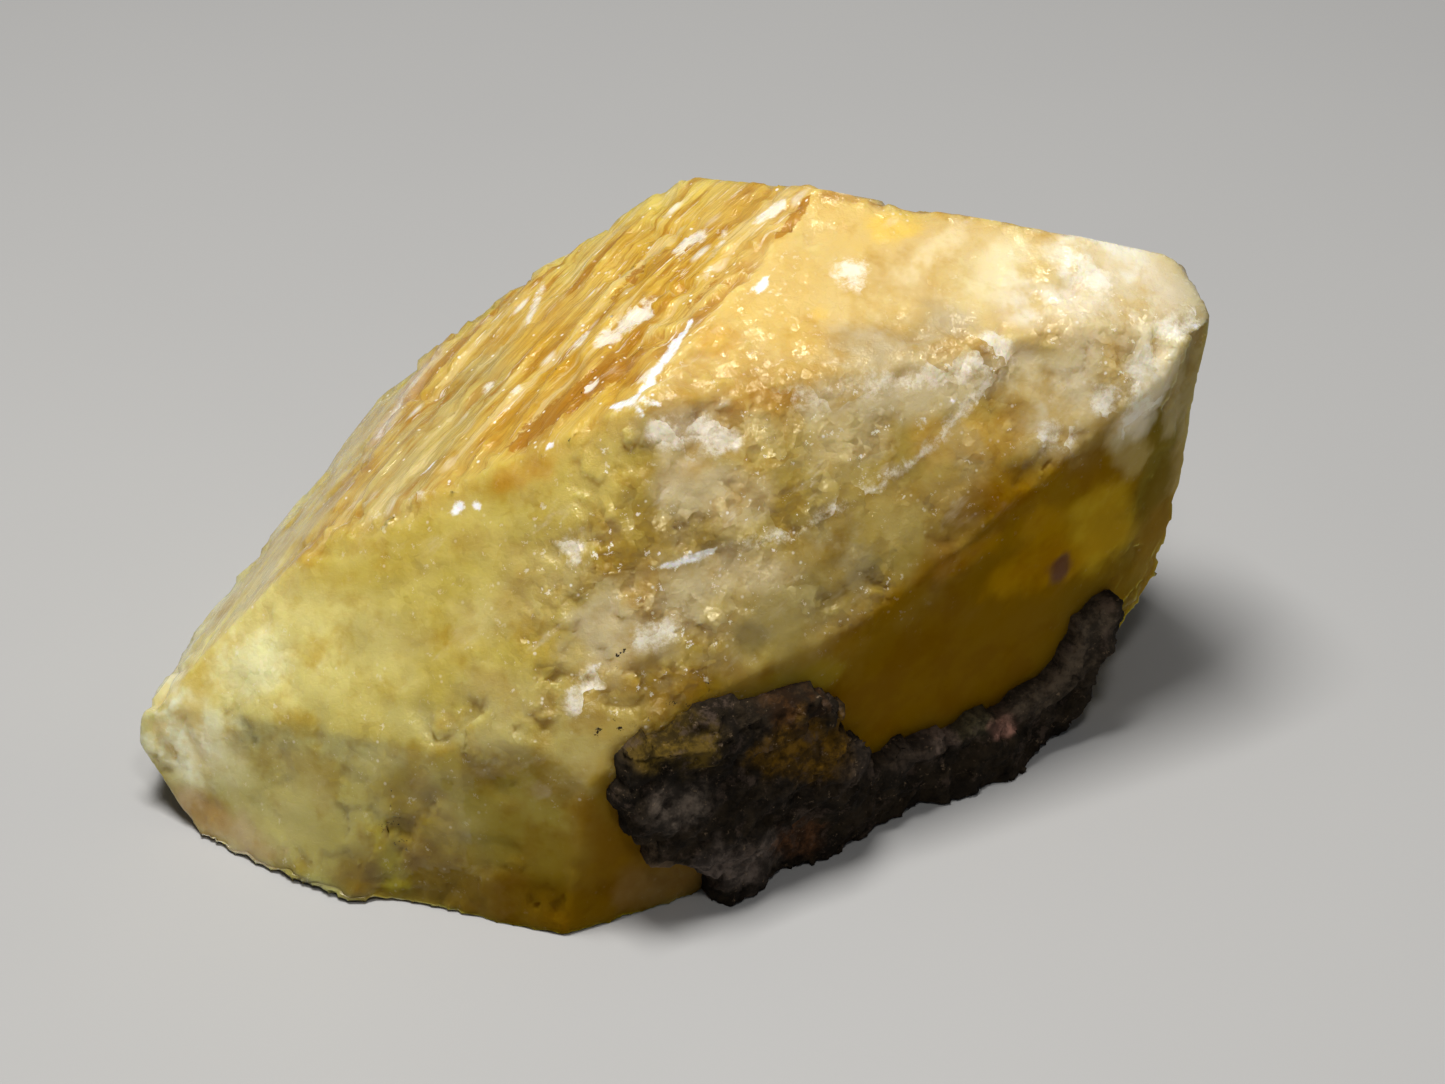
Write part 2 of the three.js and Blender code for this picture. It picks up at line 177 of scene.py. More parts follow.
# Facets where the crystal is clear and deep, and no etching dulls it.
CLEAR_FACETS = (
    "undercut",
    "lower_right",
    "lower_middle",
    "end",
    "end_back",
    "end_underside",
    "back_underside",
    "point_underside",
    "base",
)

# Facets with broad growth hills and steps.
UNSEEN_FACETS = (
    "end",
    "end_back",
    "end_underside",
    "back_slope",
    "back_right",
    "back_underside",
    "back_left",
    "back_shoulder",
    "point_back",
    "point_side",
)


# --- Patterns and meshes ---


def hashed(cells, seed):
    """A repeatable number from 0 to 1 for each point of the whole-number lattice."""
    mixed = cells[:, 0] * 73856093 ^ cells[:, 1] * 19349663 ^ cells[:, 2] * 83492791
    mixed = (mixed ^ seed * 2654435761) & 0xFFFFFFFF
    mixed = ((mixed ^ (mixed >> 13)) * 1274126177) & 0xFFFFFFFF
    return ((mixed ^ (mixed >> 16)) & 0xFFFF) / 65535.0


def noise(points, size, seed):
    """Smooth noise from 0 to 1 with lumps of the given size, one size or one for each axis."""
    scaled = points / np.asarray(size, float)
    cells = np.floor(scaled).astype(np.int64)
    part = scaled - cells
    ease = part * part * (3 - 2 * part)
    total = np.zeros(len(points))
    for corner in itertools.product((0, 1), repeat=3):
        share = np.where(np.array(corner) == 1, ease, 1 - ease).prod(axis=1)
        total += share * hashed(cells + np.array(corner), seed)
    return total


def terraces(points, size, seed, tilt):
    """Heights about 0 of small flat patches, each at its own level and lean."""
    scaled = points / np.asarray(size, float)
    home = np.floor(scaled).astype(np.int64)
    best = np.full(len(points), np.inf)
    height = np.zeros(len(points))
    for step in itertools.product((-1, 0, 1), repeat=3):
        cells = home + np.array(step)
        jitter = np.stack([hashed(cells, seed + k) for k in range(3)], axis=1)
        away = scaled - cells - jitter
        gap = (away**2).sum(axis=1)
        lean = np.stack([hashed(cells, seed + 3 + k) for k in range(3)], axis=1) - 0.5
        level = hashed(cells, seed + 6) - 0.5 + tilt * (away * lean).sum(axis=1)
        nearer = gap < best
        best = np.where(nearer, gap, best)
        height = np.where(nearer, level, height)
    return height


def fractal(points, size, seed, octaves=3):
    """Noise with finer noise laid over it."""
    size = np.asarray(size, float)
    total = np.zeros(len(points))
    weight = 0.0
    for octave in range(octaves):
        share = 0.5**octave
        total += share * noise(points, size / 2**octave, seed + octave)
        weight += share
    return total / weight


def ease_between(low, high, value):
    """0 below low, 1 above high, and a smooth step between them."""
    part = np.clip((value - low) / (high - low), 0, 1)
    return part * part * (3 - 2 * part)


def facing(bearing, tilt):
    """The outward direction of a facet."""
    b, t = math.radians(bearing), math.radians(tilt)
    return np.array((math.cos(t) * math.sin(b), -math.cos(t) * math.cos(b), math.sin(t)))


def coordinates(mesh):
    """The vertices of a mesh in mm."""
    flat = np.empty(len(mesh.vertices) * 3, np.float32)
    mesh.vertices.foreach_get("co", flat)
    return flat.reshape(-1, 3).astype(float) / MM


def directions(mesh):
    """The vertex normals of a mesh."""
    flat = np.empty(len(mesh.vertices) * 3, np.float32)
    mesh.vertex_normals.foreach_get("vector", flat)
    return flat.reshape(-1, 3).astype(float)


def fine_copy(node, name, grain):
    """An even, fine mesh with the shape of a CAD node."""
    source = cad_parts[node]
    rough = bpy.data.objects.new(name + "_source", source.data.copy())
    bpy.context.scene.collection.objects.link(rough)
    weld = rough.modifiers.new("weld", "WELD")
    weld.merge_threshold = 1e-7
    remesh = rough.modifiers.new("remesh", "REMESH")
    remesh.mode = "VOXEL"
    remesh.voxel_size = grain * MM
    graph = bpy.context.evaluated_depsgraph_get()
    mesh = bpy.data.meshes.new_from_object(rough.evaluated_get(graph))
    bpy.data.objects.remove(rough)
    mesh.name = name
    mesh.materials.clear()
    piece = bpy.data.objects.new(name, mesh)
    bpy.context.scene.collection.objects.link(piece)
    mesh.shade_smooth()
    return piece


def reaches(node):
    """How far each named facet lies from the origin, in mm, read from the CAD node."""
    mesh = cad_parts[node].data
    corners = coordinates(mesh)
    faces = np.array([face.vertices[:3] for face in mesh.polygons])
    a, b, c = (corners[faces[:, k]] for k in range(3))
    cross = np.cross(b - a, c - a)
    area = np.linalg.norm(cross, axis=1) + 1e-12
    normal = cross / area[:, None]
    middle = (a + b + c) / 3
    found = {}
    for name, (bearing, tilt) in FACETS.items():
        out = facing(bearing, tilt)
        flat = normal @ out > math.cos(math.radians(1.5))
        reach = middle[flat] @ out
        order = np.argsort(reach)
        share = np.cumsum(area[flat][order])
        found[name] = reach[order][np.searchsorted(share, share[-1] / 2)]
    return found


def facet_heights(points, reach):
    """For each point, its height in mm over the plane of each facet."""
    return np.stack([points @ facing(*FACETS[name]) - reach[name] for name in FACETS], axis=1)


def facet_shares(points, reach, spread, wander=0.0):
    """For each point, how far it belongs to each facet: 1 on it, less over its edges."""
    heights = facet_heights(points, reach)
    if wander:
        for k in range(len(FACETS)):
            heights[:, k] += wander * (fractal(points, WANDER_SIZE, 300 + 7 * k) - 0.5)
    rise = np.exp((heights - heights.max(axis=1, keepdims=True)) / spread)
    rise /= rise.sum(axis=1, keepdims=True)
    return {name: rise[:, k] for k, name in enumerate(FACETS)}


def line_distance(points, start, end):
    """The distance in mm from each point to a straight stretch."""
    start, end = np.array(start, float), np.array(end, float)
    run = end - start
    length = float(run @ run)
    along = np.clip((points - start) @ run / length, 0, 1) if length else 0
    nearest = start + np.multiply.outer(along, run) if length else start
    return np.linalg.norm(points - nearest, axis=1)


def blot(points, start, end, radius, seed, ragged):
    """A ragged patch round a stretch: 1 inside it and 0 outside."""
    reach = line_distance(points, start, end) / radius
    rag = fractal(points, max(radius * 0.5, 0.3), seed, 4) - 0.5
    return 1 - ease_between(0.4, 1.4, reach + ragged * 2 * rag)


def fade(points, start, end, radius):
    """A soft mark round a stretch: 1 along it and 0 at 1.6 radii, which shrink towards its ends."""
    start, end = np.array(start, float), np.array(end, float)
    run = end - start
    along = np.clip((points - start) @ run / max(run @ run, 1e-9), 0, 1)
    taper = 1 - 0.55 * (2 * along - 1) ** 4 * min(1, np.linalg.norm(run) / (2 * radius))
    return np.clip(1 - line_distance(points, start, end) / (1.6 * radius * taper), 0, 1)


def shaken_points(points, depth, size, seed):
    """Points shaken by smooth noise, by up to half that depth each way."""
    return points + depth * np.stack([noise(points, size, seed + k) - 0.5 for k in range(3)], 1)


def place_vertices(mesh, points):
    """Moves the vertices of a mesh to points in mm, none of them under the floor."""
    points[:, 2] = np.maximum(points[:, 2], 0)
    mesh.vertices.foreach_set("co", (points * MM).astype(np.float32).ravel())
    mesh.update()


def lay_tints(points, tint, table, ragged):
    """Lays each patch of a table of tints over the colours so far."""
    for start, end, radius, colour, strength, seed in table:
        part = strength * blot(points, start, end, radius, seed, ragged)
        tint += part[:, None] * (np.array(colour) - tint)
    return tint


def add_attribute(mesh, name, values):
    """Keeps one number for each vertex under a name that the materials read."""
    layer = mesh.attributes.new(name, "FLOAT", "POINT")
    layer.data.foreach_set("value", np.asarray(values, np.float32))


def add_tint(mesh, name, colours):
    """Keeps one colour for each vertex under a name that the materials read."""
    layer = mesh.attributes.new(name, "FLOAT_COLOR", "POINT")
    full = np.ones((len(colours), 4), np.float32)
    full[:, :3] = colours
    layer.data.foreach_set("color", full.ravel())


# --- Crystal ---

REACH = reaches("crystal")
STREAK_NORMAL = facing(*FACETS["streaked"])
STREAK_ACROSS = np.cross(STREAK_NORMAL, STREAK_ALONG)
TINT_RAGGED = 0.5

# Broad tints: from, to, radius in mm, colour, strength, seed.
TINTS = (
    # Top: orange by the streaks, a grey cloud by the front edge, white by the blunt end.
    ((1.3, -2.4, 14.8), (4.8, 2.0, 16.0), 1.7, (0.75, 0.54, 0.17), 0.75, 101),
    ((5.2, -2.0, 14.3), (7.6, -1.1, 14.5), 0.8, (0.52, 0.45, 0.32), 0.7, 104),
    ((10.2, 0.6, 14.7), (12.2, 1.6, 14.8), 1.4, (0.92, 0.88, 0.74), 0.9, 102),
    ((8.4, 0.4, 15.0), (9.6, 1.4, 15.0), 1.0, (0.80, 0.68, 0.36), 0.6, 111),
    ((6.0, 1.9, 15.7), (6.4, 2.1, 15.7), 0.55, (0.90, 0.62, 0.09), 0.6, 103),
    ((4.1, -1.2, 14.8), (4.1, -1.2, 14.8), 0.3, (0.86, 0.58, 0.10), 0.5, 105),
    ((1.2, -2.5, 14.8), (1.6, -2.2, 14.8), 0.4, (0.80, 0.46, 0.05), 0.6, 108),
    ((7.9, 1.9, 15.5), (6.4, 0.3, 15.1), 0.35, (0.88, 0.76, 0.46), 0.6, 173),
    ((9.3, 1.4, 15.2), (8.6, 0.2, 14.9), 0.5, (0.86, 0.76, 0.46), 0.6, 174),
    ((4.8, -0.6, 15.0), (6.2, -0.9, 14.8), 0.8, (0.78, 0.60, 0.25), 0.6, 175),
    ((2.4, -1.6, 15.0), (3.4, -2.0, 14.7), 0.7, (0.76, 0.52, 0.13), 0.6, 176),
    ((4.4, 2.9, 16.2), (7.6, 2.8, 15.9), 0.25, (0.42, 0.20, 0.04), 0.7, 109),
    # Streaked facet: yellow along the far edge, grey lower down.
    ((-2.6, 4.9, 12.9), (0.3, 5.6, 14.6), 1.2, (0.78, 0.60, 0.13), 0.8, 106),
    ((-7.5, -2.4, 9.9), (-5.6, 0.6, 11.0), 1.6, (0.54, 0.44, 0.17), 0.8, 107),
    ((-7.0, 3.6, 10.0), (-8.2, 1.4, 9.2), 0.6, (0.74, 0.58, 0.42), 0.8, 110),
    # Left: yellow-green, with a painted glow low down and a pale point.
    ((-8.8, -5.2, 6.9), (-12.5, -4.4, 5.0), 2.0, (0.86, 0.77, 0.29), 0.75, 118),
    ((-12.2, -4.3, 5.1), (-11.4, -4.5, 5.5), 0.9, (0.95, 0.92, 0.50), 0.85, 112),
    ((-14.8, -3.8, 3.4), (-13.6, -4.6, 2.8), 1.5, (0.97, 0.96, 0.68), 0.95, 113),
    ((-13.6, -5.2, 0.7), (-11.2, -6.4, 0.3), 0.8, PINK, 0.7, 114),
    ((-9.0, -3.9, 8.4), (-7.0, -4.4, 9.2), 0.9, (0.56, 0.42, 0.07), 0.85, 115),
    ((-8.6, -5.4, 7.0), (-7.2, -5.8, 7.4), 0.8, (0.52, 0.42, 0.12), 0.6, 119),
    ((-11.8, -5.3, 3.7), (-7.4, -7.4, 4.5), 0.45, (0.44, 0.42, 0.19), 0.6, 116),
    ((-11.4, -6.1, 1.7), (-9.4, -6.9, 2.0), 0.5, (0.46, 0.42, 0.17), 0.4, 117),
    # Middle: grey lilac clouds over gold, and a sugary belt under the top.
    ((-1.6, -7.4, 8.6), (0.4, -6.9, 9.6), 1.2, LILAC, 0.75, 121),
    ((1.6, -5.9, 9.9), (3.6, -6.0, 8.8), 0.8, LILAC, 0.7, 127),
    ((2.0, -4.0, 13.4), (9.6, -1.8, 13.4), 0.8, (0.72, 0.61, 0.38), 0.7, 122),
    ((0.3, -4.7, 13.5), (1.6, -4.4, 13.2), 0.8, (0.66, 0.54, 0.36), 0.7, 128),
    ((1.9, -4.1, 13.9), (3.2, -3.7, 13.8), 0.5, (0.58, 0.34, 0.05), 0.75, 123),
    ((-3.4, -4.7, 12.2), (-4.6, -4.4, 11.6), 0.4, (0.62, 0.36, 0.03), 0.8, 129),
    ((0.6, -5.2, 12.5), (0.6, -5.2, 12.5), 0.4, (0.80, 0.52, 0.16), 0.7, 130),
    ((-2.9, -6.4, 10.2), (-3.8, -6.0, 10.0), 0.9, (0.46, 0.35, 0.10), 0.65, 124),
    ((-3.4, -6.8, 9.2), (-5.6, -6.6, 8.4), 0.7, (0.60, 0.50, 0.20), 0.5, 125),
    ((3.7, -5.3, 10.4), (5.0, -4.9, 10.2), 0.6, (0.34, 0.26, 0.08), 0.75, 126),
    ((4.6, -4.0, 12.6), (5.6, -3.7, 12.4), 0.6, (0.70, 0.56, 0.28), 0.6, 151),
    ((-5.1, -7.6, 6.9), (-2.8, -8.4, 6.9), 0.7, (0.52, 0.43, 0.16), 0.6, 155),
    ((-5.1, -8.2, 5.9), (-2.4, -9.0, 5.9), 0.6, (0.50, 0.42, 0.15), 0.7, 156),
    ((-7.6, -7.2, 5.6), (-5.4, -8.0, 5.6), 0.5, (0.62, 0.54, 0.20), 0.6, 157),
    ((-2.9, -6.3, 10.3), (-4.1, -6.6, 9.9), 1.0, (0.56, 0.42, 0.10), 0.7, 181),
    ((1.9, -4.7, 12.8), (2.9, -4.4, 13.0), 0.9, (0.58, 0.42, 0.11), 0.7, 182),
    ((4.1, -5.2, 10.2), (4.9, -4.7, 10.6), 0.8, (0.42, 0.31, 0.08), 0.7, 183),
    ((4.9, -3.9, 12.5), (4.3, -4.2, 12.6), 0.7, (0.76, 0.61, 0.28), 0.6, 184),
    ((-8.8, -4.0, 8.6), (-8.0, -3.8, 8.9), 0.8, (0.62, 0.50, 0.11), 0.7, 185),
    ((-6.1, -1.0, 10.9), (-5.5, 0.0, 11.5), 1.1, (0.60, 0.44, 0.11), 0.7, 186),
    ((3.5, -3.2, 14.3), (2.2, -3.7, 14.1), 0.6, (0.56, 0.34, 0.06), 0.8, 194),
    ((1.2, -3.8, 14.3), (0.2, -3.9, 14.2), 0.6, (0.62, 0.44, 0.15), 0.7, 195),
    ((1.9, -5.4, 11.6), (0.4, -5.5, 12.2), 0.9, (0.76, 0.62, 0.34), 0.8, 196),
    # The clear honey part starts under a ragged edge above the undercut.
    ((8.6, -3.9, 9.7), (12.3, -1.4, 9.4), 1.45, (0.27, 0.140, 0.001), 1.0, 151),
    ((6.9, -4.9, 9.0), (8.2, -4.1, 9.8), 0.9, (0.22, 0.115, 0.001), 1.0, 153),
    ((4.6, -6.2, 7.2), (7.0, -5.0, 8.4), 0.6, (0.25, 0.130, 0.002), 1.0, 152),
    ((1.2, -7.9, 6.9), (4.4, -6.4, 6.5), 0.5, (0.36, 0.25, 0.02), 0.7, 142),
    ((12.6, -1.4, 10.8), (13.1, -0.8, 9.6), 0.6, (0.56, 0.43, 0.15), 0.6, 143),
    # Paler honey towards the undercut's right end: painted glow of light through the crystal.
    ((9.6, -3.1, 7.2), (11.6, -1.6, 7.0), 0.9, (0.46, 0.24, 0.001), 0.7, 145),
    ((10.2, -2.7, 8.9), (10.8, -2.3, 8.2), 0.7, (0.44, 0.23, 0.001), 0.7, 146),
    ((11.9, -1.3, 8.4), (12.4, -0.9, 6.8), 1.1, (0.60, 0.39, 0.02), 0.7, 187),
    ((2.4, -6.9, 8.2), (6.4, -4.8, 9.8), 1.0, (0.30, 0.22, 0.045), 0.8, 188),
    ((7.6, -4.6, 8.6), (9.0, -3.8, 8.9), 0.4, (0.44, 0.22, 0.002), 0.6, 154),
    ((3.0, -6.7, 7.8), (5.2, -4.9, 9.6), 0.8, (0.33, 0.25, 0.07), 0.7, 171),
    ((5.6, -4.7, 10.1), (6.6, -4.0, 10.9), 0.7, (0.42, 0.30, 0.07), 0.7, 172),
    ((10.95, -1.95, 6.9), (11.0, -1.85, 6.5), 0.38, (0.15, 0.07, 0.04), 0.95, 177),
    ((7.2, -3.2, 12.0), (9.4, -2.4, 11.8), 0.7, (0.62, 0.38, 0.07), 0.7, 178),
    # Blunt end: olive gold, with a paler far rim that is a painted highlight and a milky column at
    # its near edge.
    ((14.6, 1.0, 12.6), (14.5, 1.8, 7.6), 0.8, (0.52, 0.41, 0.19), 0.6, 147),
    ((13.9, 0.0, 12.6), (14.2, 0.3, 10.2), 0.55, (0.60, 0.48, 0.24), 0.6, 197),
    ((14.2, 0.8, 6.0), (13.8, 2.6, 3.4), 1.2, (0.34, 0.20, 0.03), 0.7, 158),
    # Painted highlight along the far rim.
    ((14.4, 3.0, 11.0), (14.2, 4.6, 7.0), 1.3, (0.56, 0.46, 0.22), 0.7, 159),
    ((13.4, 5.0, 4.0), (13.0, 5.6, 1.6), 1.2, (0.32, 0.24, 0.05), 0.7, 160),
    ((13.5, -0.4, 13.2), (12.8, -1.1, 11.3), 0.8, (0.88, 0.78, 0.54), 0.9, 148),
    ((12.0, -1.2, 13.4), (10.6, -1.9, 12.2), 1.2, (0.84, 0.72, 0.46), 0.8, 149),
    # Back: honey and cream clouds over gold, pale green towards the point.
    ((10.5, 7.6, 9.6), (5.5, 9.0, 8.2), 1.8, (0.66, 0.55, 0.30), 0.8, 161),
    ((8.5, 8.6, 4.6), (3.0, 9.6, 5.4), 1.4, (0.44, 0.25, 0.03), 0.8, 162),
    ((1.0, 9.2, 7.0), (-2.5, 8.6, 5.0), 1.6, (0.70, 0.60, 0.30), 0.7, 163),
    ((12.2, 6.4, 6.6), (11.0, 7.4, 3.4), 1.3, (0.60, 0.50, 0.26), 0.7, 164),
    ((-4.5, 7.8, 3.0), (-7.5, 6.4, 4.4), 1.5, (0.52, 0.42, 0.12), 0.7, 165),
    ((4.0, 6.0, 12.6), (8.8, 4.8, 13.0), 1.0, (0.78, 0.68, 0.40), 0.7, 166),
    ((0.5, 7.2, 11.4), (2.6, 7.6, 10.6), 1.0, (0.48, 0.29, 0.05), 0.8, 167),
    ((-3.2, 7.0, 9.6), (-5.8, 5.6, 8.0), 1.3, (0.74, 0.66, 0.34), 0.7, 168),
    ((-11.5, 1.5, 3.6), (-13.2, -1.2, 3.0), 1.3, (0.78, 0.76, 0.46), 0.7, 169),
    # Lower middle: a paler band over deep amber, darker towards the base partly as painted shade.
    ((-6.3, -8.3, 4.8), (-3.0, -9.4, 3.8), 0.45, (0.36, 0.28, 0.05), 0.85, 131),
    ((-4.6, -8.9, 5.4), (-2.6, -9.2, 5.0), 0.6, (0.40, 0.33, 0.12), 0.7, 134),
    ((-5.5, -8.8, 0.8), (-0.5, -9.3, 0.8), 1.3, (0.17, 0.085, 0.001), 0.85, 132),
    ((-0.6, -9.2, 0.9), (1.6, -8.2, 0.6), 0.9, (0.27, 0.17, 0.06), 0.6, 133),
    ((-7.2, -8.1, 3.4), (-6.0, -8.7, 2.0), 1.0, (0.30, 0.21, 0.025), 0.85, 191),
    ((-8.6, -8.4, 0.7), (-6.0, -8.7, 0.8), 1.0, (0.20, 0.12, 0.010), 0.85, 192),
    ((-3.8, -9.1, 5.3), (-5.2, -8.6, 4.5), 0.7, (0.30, 0.22, 0.030), 0.75, 193),
    ((-8.0, -8.0, 2.2), (-7.6, -8.2, 0.6), 0.45, (0.42, 0.36, 0.03), 0.7, 135),
)

# Clear honey crystal beyond those facets: from, to, radius in mm, seed.
CLEAR_PLACES = (
    ((8.6, -3.9, 9.7), (12.3, -1.4, 9.4), 1.45, 151),
    ((6.9, -4.9, 9.0), (8.2, -4.1, 9.8), 0.9, 153),
    ((4.6, -6.2, 7.2), (7.0, -5.0, 8.4), 0.6, 152),
)

# Small marks by the attribute they fill: from, to, radius in mm, strength.
MARKS = {
    # A frosted, sugary skin; some of the smallest marks are painted glints.
    "frost": (
        ((13.3, -0.6, 13.2), (12.75, -1.2, 11.0), 0.6, 0.7),
        ((13.6, 0.0, 13.6), (14.6, 0.9, 13.3), 0.5, 0.8),
        ((11.8, -1.5, 12.5), (12.2, -1.3, 11.9), 0.5, 0.7),
        ((10.0, -2.3, 11.6), (11.2, -1.8, 11.3), 0.5, 0.6),
        ((11.2, 0.9, 14.8), (12.0, 1.2, 14.7), 0.7, 0.85),
        ((8.5, -1.7, 14.1), (9.3, -1.5, 14.1), 0.42, 0.9),
        ((5.1, 0.29, 15.2), (5.1, 0.29, 15.2), 0.55, 0.9),
        ((-2.1, -8.1, 7.6), (-2.5, -8.4, 7.0), 0.55, 0.6),
        ((-0.8, -7.7, 8.6), (0.2, -7.2, 9.0), 0.6, 0.6),
        ((-0.3, -5.0, 13.6), (1.7, -4.6, 13.0), 0.6, 0.65),
        ((2.4, -3.8, 13.7), (9.6, -1.7, 13.7), 0.45, 0.5),
        ((0.2, 2.4, 14.6), (0.9, 2.9, 14.9), 0.42, 0.9),
        ((-1.9, -0.6, 13.5), (-0.4, 0.5, 14.4), 0.42, 0.95),
        ((-4.2, 2.2, 12.1), (-3.6, 4.3, 12.2), 0.16, 0.9),
        ((-2.7, -0.3, 13.0), (-2.3, 0.5, 13.2), 0.2, 0.9),
        ((2.4, 2.3, 15.6), (3.1, 3.0, 15.9), 0.22, 0.9),
        ((1.0, 0.3, 14.9), (1.6, 2.8, 15.1), 0.16, 0.8),
        ((-5.1, 0.2, 11.5), (-5.0, 0.4, 11.5), 0.22, 0.9),
        ((-4.3, -0.9, 12.1), (-4.2, -0.7, 12.1), 0.2, 0.8),
        ((-2.2, -2.6, 13.3), (-2.0, -2.4, 13.4), 0.22, 0.8),
        ((1.3, -4.6, 13.4), (0.2, -4.9, 13.6), 0.45, 0.7),
        ((1.4, -6.0, 10.4), (3.6, -5.2, 10.5), 0.25, 0.55),
        ((3.6, -5.2, 10.5), (6.8, -3.5, 11.7), 0.25, 0.55),
        ((6.8, -3.5, 11.7), (9.0, -1.9, 13.4), 0.25, 0.5),
        ((-2.9, -5.8, 10.9), (-2.5, -6.5, 10.4), 0.4, 0.5),
        ((-9.6, -2.8, 8.7), (-5.0, -3.9, 11.3), 0.22, 0.6),
        ((-7.2, 3.4, 9.9), (-8.3, 1.3, 9.1), 0.4, 0.6),
    ),
    # Painted highlights: bright flakes drawn white in the colour.
    "glint": (
        ((-1.0, -4.4, 14.1), (0.6, -1.5, 14.8), 0.20, 1.0),
        ((-1.5, -4.1, 13.8), (-0.3, -4.6, 14.2), 0.24, 1.0),
        ((-0.7, -4.9, 14.0), (-0.8, -4.4, 14.2), 0.13, 0.9),
        ((-0.1, -2.0, 14.6), (0.0, -1.6, 14.7), 0.09, 0.9),
        ((0.3, -1.8, 14.8), (0.5, -1.2, 14.9), 0.07, 0.9),
        ((2.4, -0.7, 15.2), (2.7, -0.2, 15.4), 0.14, 1.0),
        ((2.7, -0.2, 15.4), (3.9, 2.0, 16.1), 0.07, 0.9),
        ((-0.5, -6.7, 10.25), (1.3, -6.1, 10.4), 0.13, 1.0),
        ((6.84, -3.0, 12.5), (6.84, -3.0, 12.5), 0.22, 0.9),
        ((7.66, -2.6, 12.9), (7.8, -2.5, 13.0), 0.16, 0.9),
        ((-5.8, -4.3, 10.5), (-5.7, -4.3, 10.6), 0.22, 0.75),
        ((-5.3, -4.5, 10.8), (-5.2, -4.5, 10.8), 0.18, 0.75),
        ((-3.3, -4.3, 12.6), (-3.1, -4.3, 12.7), 0.10, 0.9),
        ((-3.4, 0.9, 12.8), (-2.9, 1.6, 13.0), 0.12, 0.8),
        ((-6.9, -2.6, 10.4), (-6.4, -2.1, 10.7), 0.11, 0.8),
        ((-2.2, -8.0, 7.7), (-1.8, -7.9, 8.0), 0.12, 0.8),
        ((2.0, -4.9, 12.0), (2.2, -4.8, 12.1), 0.12, 0.8),
        ((-1.2, -1.8, 13.6), (-1.0, -1.5, 13.9), 0.12, 0.9),
        ((7.2, -2.3, 13.6), (7.9, -2.0, 13.8), 0.08, 0.9),
        ((5.3, -4.1, 11.7), (5.5, -4.0, 11.7), 0.10, 0.8),
    ),
    # Rust in hollows.
    "stain": (
        ((3.0, 1.3, 15.8), (3.8, 2.8, 16.2), 0.24, 1.0),
        ((0.2, -1.0, 14.5), (2.6, 1.6, 15.5), 0.4, 0.5),
        ((-4.2, -3.4, 12.1), (-0.9, -2.0, 14.1), 0.75, 0.75),
        ((-0.8, 2.8, 14.0), (-1.7, 1.2, 13.4), 0.3, 0.6),
        ((-8.9, -7.6, 0.5), (-8.7, -7.7, 0.5), 0.28, 0.9),
    ),
    # Black specks.
    "speck": (
        ((-1.9, -8.8, 6.3), (1.2, -7.9, 7.2), 0.28, 1.0),
        ((-1.5, -7.8, 8.0), (-1.0, -7.8, 8.2), 0.4, 0.8),
        ((-8.0, -8.0, 2.5), (-7.0, -8.4, 2.0), 0.4, 1.0),
    ),
}


def streak_frame(points):
    """Points as lengths along the streaks, across them and out of their facet."""
    return np.stack([points @ STREAK_ALONG, points @ STREAK_ACROSS, points @ STREAK_NORMAL], 1)


def ridged(value):
    """Turns smooth noise into sharp crests."""
    return 1 - np.abs(2 * value - 1)


def streak_relief(points):
    """Growth streaks and threads, broken by pits."""
    lie = streak_frame(points)
    coarse = ridged(noise(lie, (8.0, 1.2, 3.0), 11))
    fine = ridged(noise(lie, (4.0, 0.42, 2.0), 12))
    pits = ease_between(0.6, 0.7, noise(lie, (1.8, 0.8, 2.0), 13))
    return STREAK_DEPTH * (coarse - 0.55) + THREAD_DEPTH * (fine - 0.5) - BREAK_DEPTH * pits


def flake_relief(points, warped):
    """Etched flakes of two sizes, strong in some places and weak in others."""
    large = FLAKE_DEPTH * terraces(warped, 1.7, 51, 1.0)
    small = SMALL_FLAKE_DEPTH * terraces(warped, 0.7, 61, 1.6)
    patches = ease_between(0.42, 0.60, fractal(points, 2.6, 24))
    return (large + small) * (0.2 + 0.8 * patches)


def hill_relief(points, warped):
    """Broad growth hills and steps."""
    hills = HILL_DEPTH * (fractal(points, 3.6, 91) - 0.5)
    return hills + HILL_STEP_DEPTH * terraces(warped, 2.8, 94, 1.0)


def crystal_relief(points, share, edge):
    """How far each point of the crystal stands proud, in mm."""
    streaky = share["streaked"] + share["crest"] + 0.45 * share["rim"]
    glossy = share["undercut"] + share["lower_right"] + share["back_underside"]
    level = share["base"]
    etched = np.clip(1 - streaky - glossy - level, 0, 1)
    sugary = sum(share[name] * sugar for name, (_, sugar) in FACET_LOOKS.items())
    hidden = sum(share[name] for name in UNSEEN_FACETS)

    warped = shaken_points(points, 0.4, 0.9, 20)
    relief = streaky * streak_relief(points)
    relief += etched * sugary * flake_relief(points, warped)
    relief += glossy * WAVE_DEPTH * (fractal(points, 2.6, 31) - 0.5)
    relief += hidden * hill_relief(points, warped)

    chips = ease_between(0.45, 0.6, noise(points, 1.1, 35))
    chips *= 0.6 + terraces(warped, 0.7, 71, 1.5)
    wear = (EDGE_WEAR + CHIP_DEPTH * chips) * (1 - level) * (1 - 0.7 * glossy)
    return relief * (1 - 0.5 * edge) - wear * edge


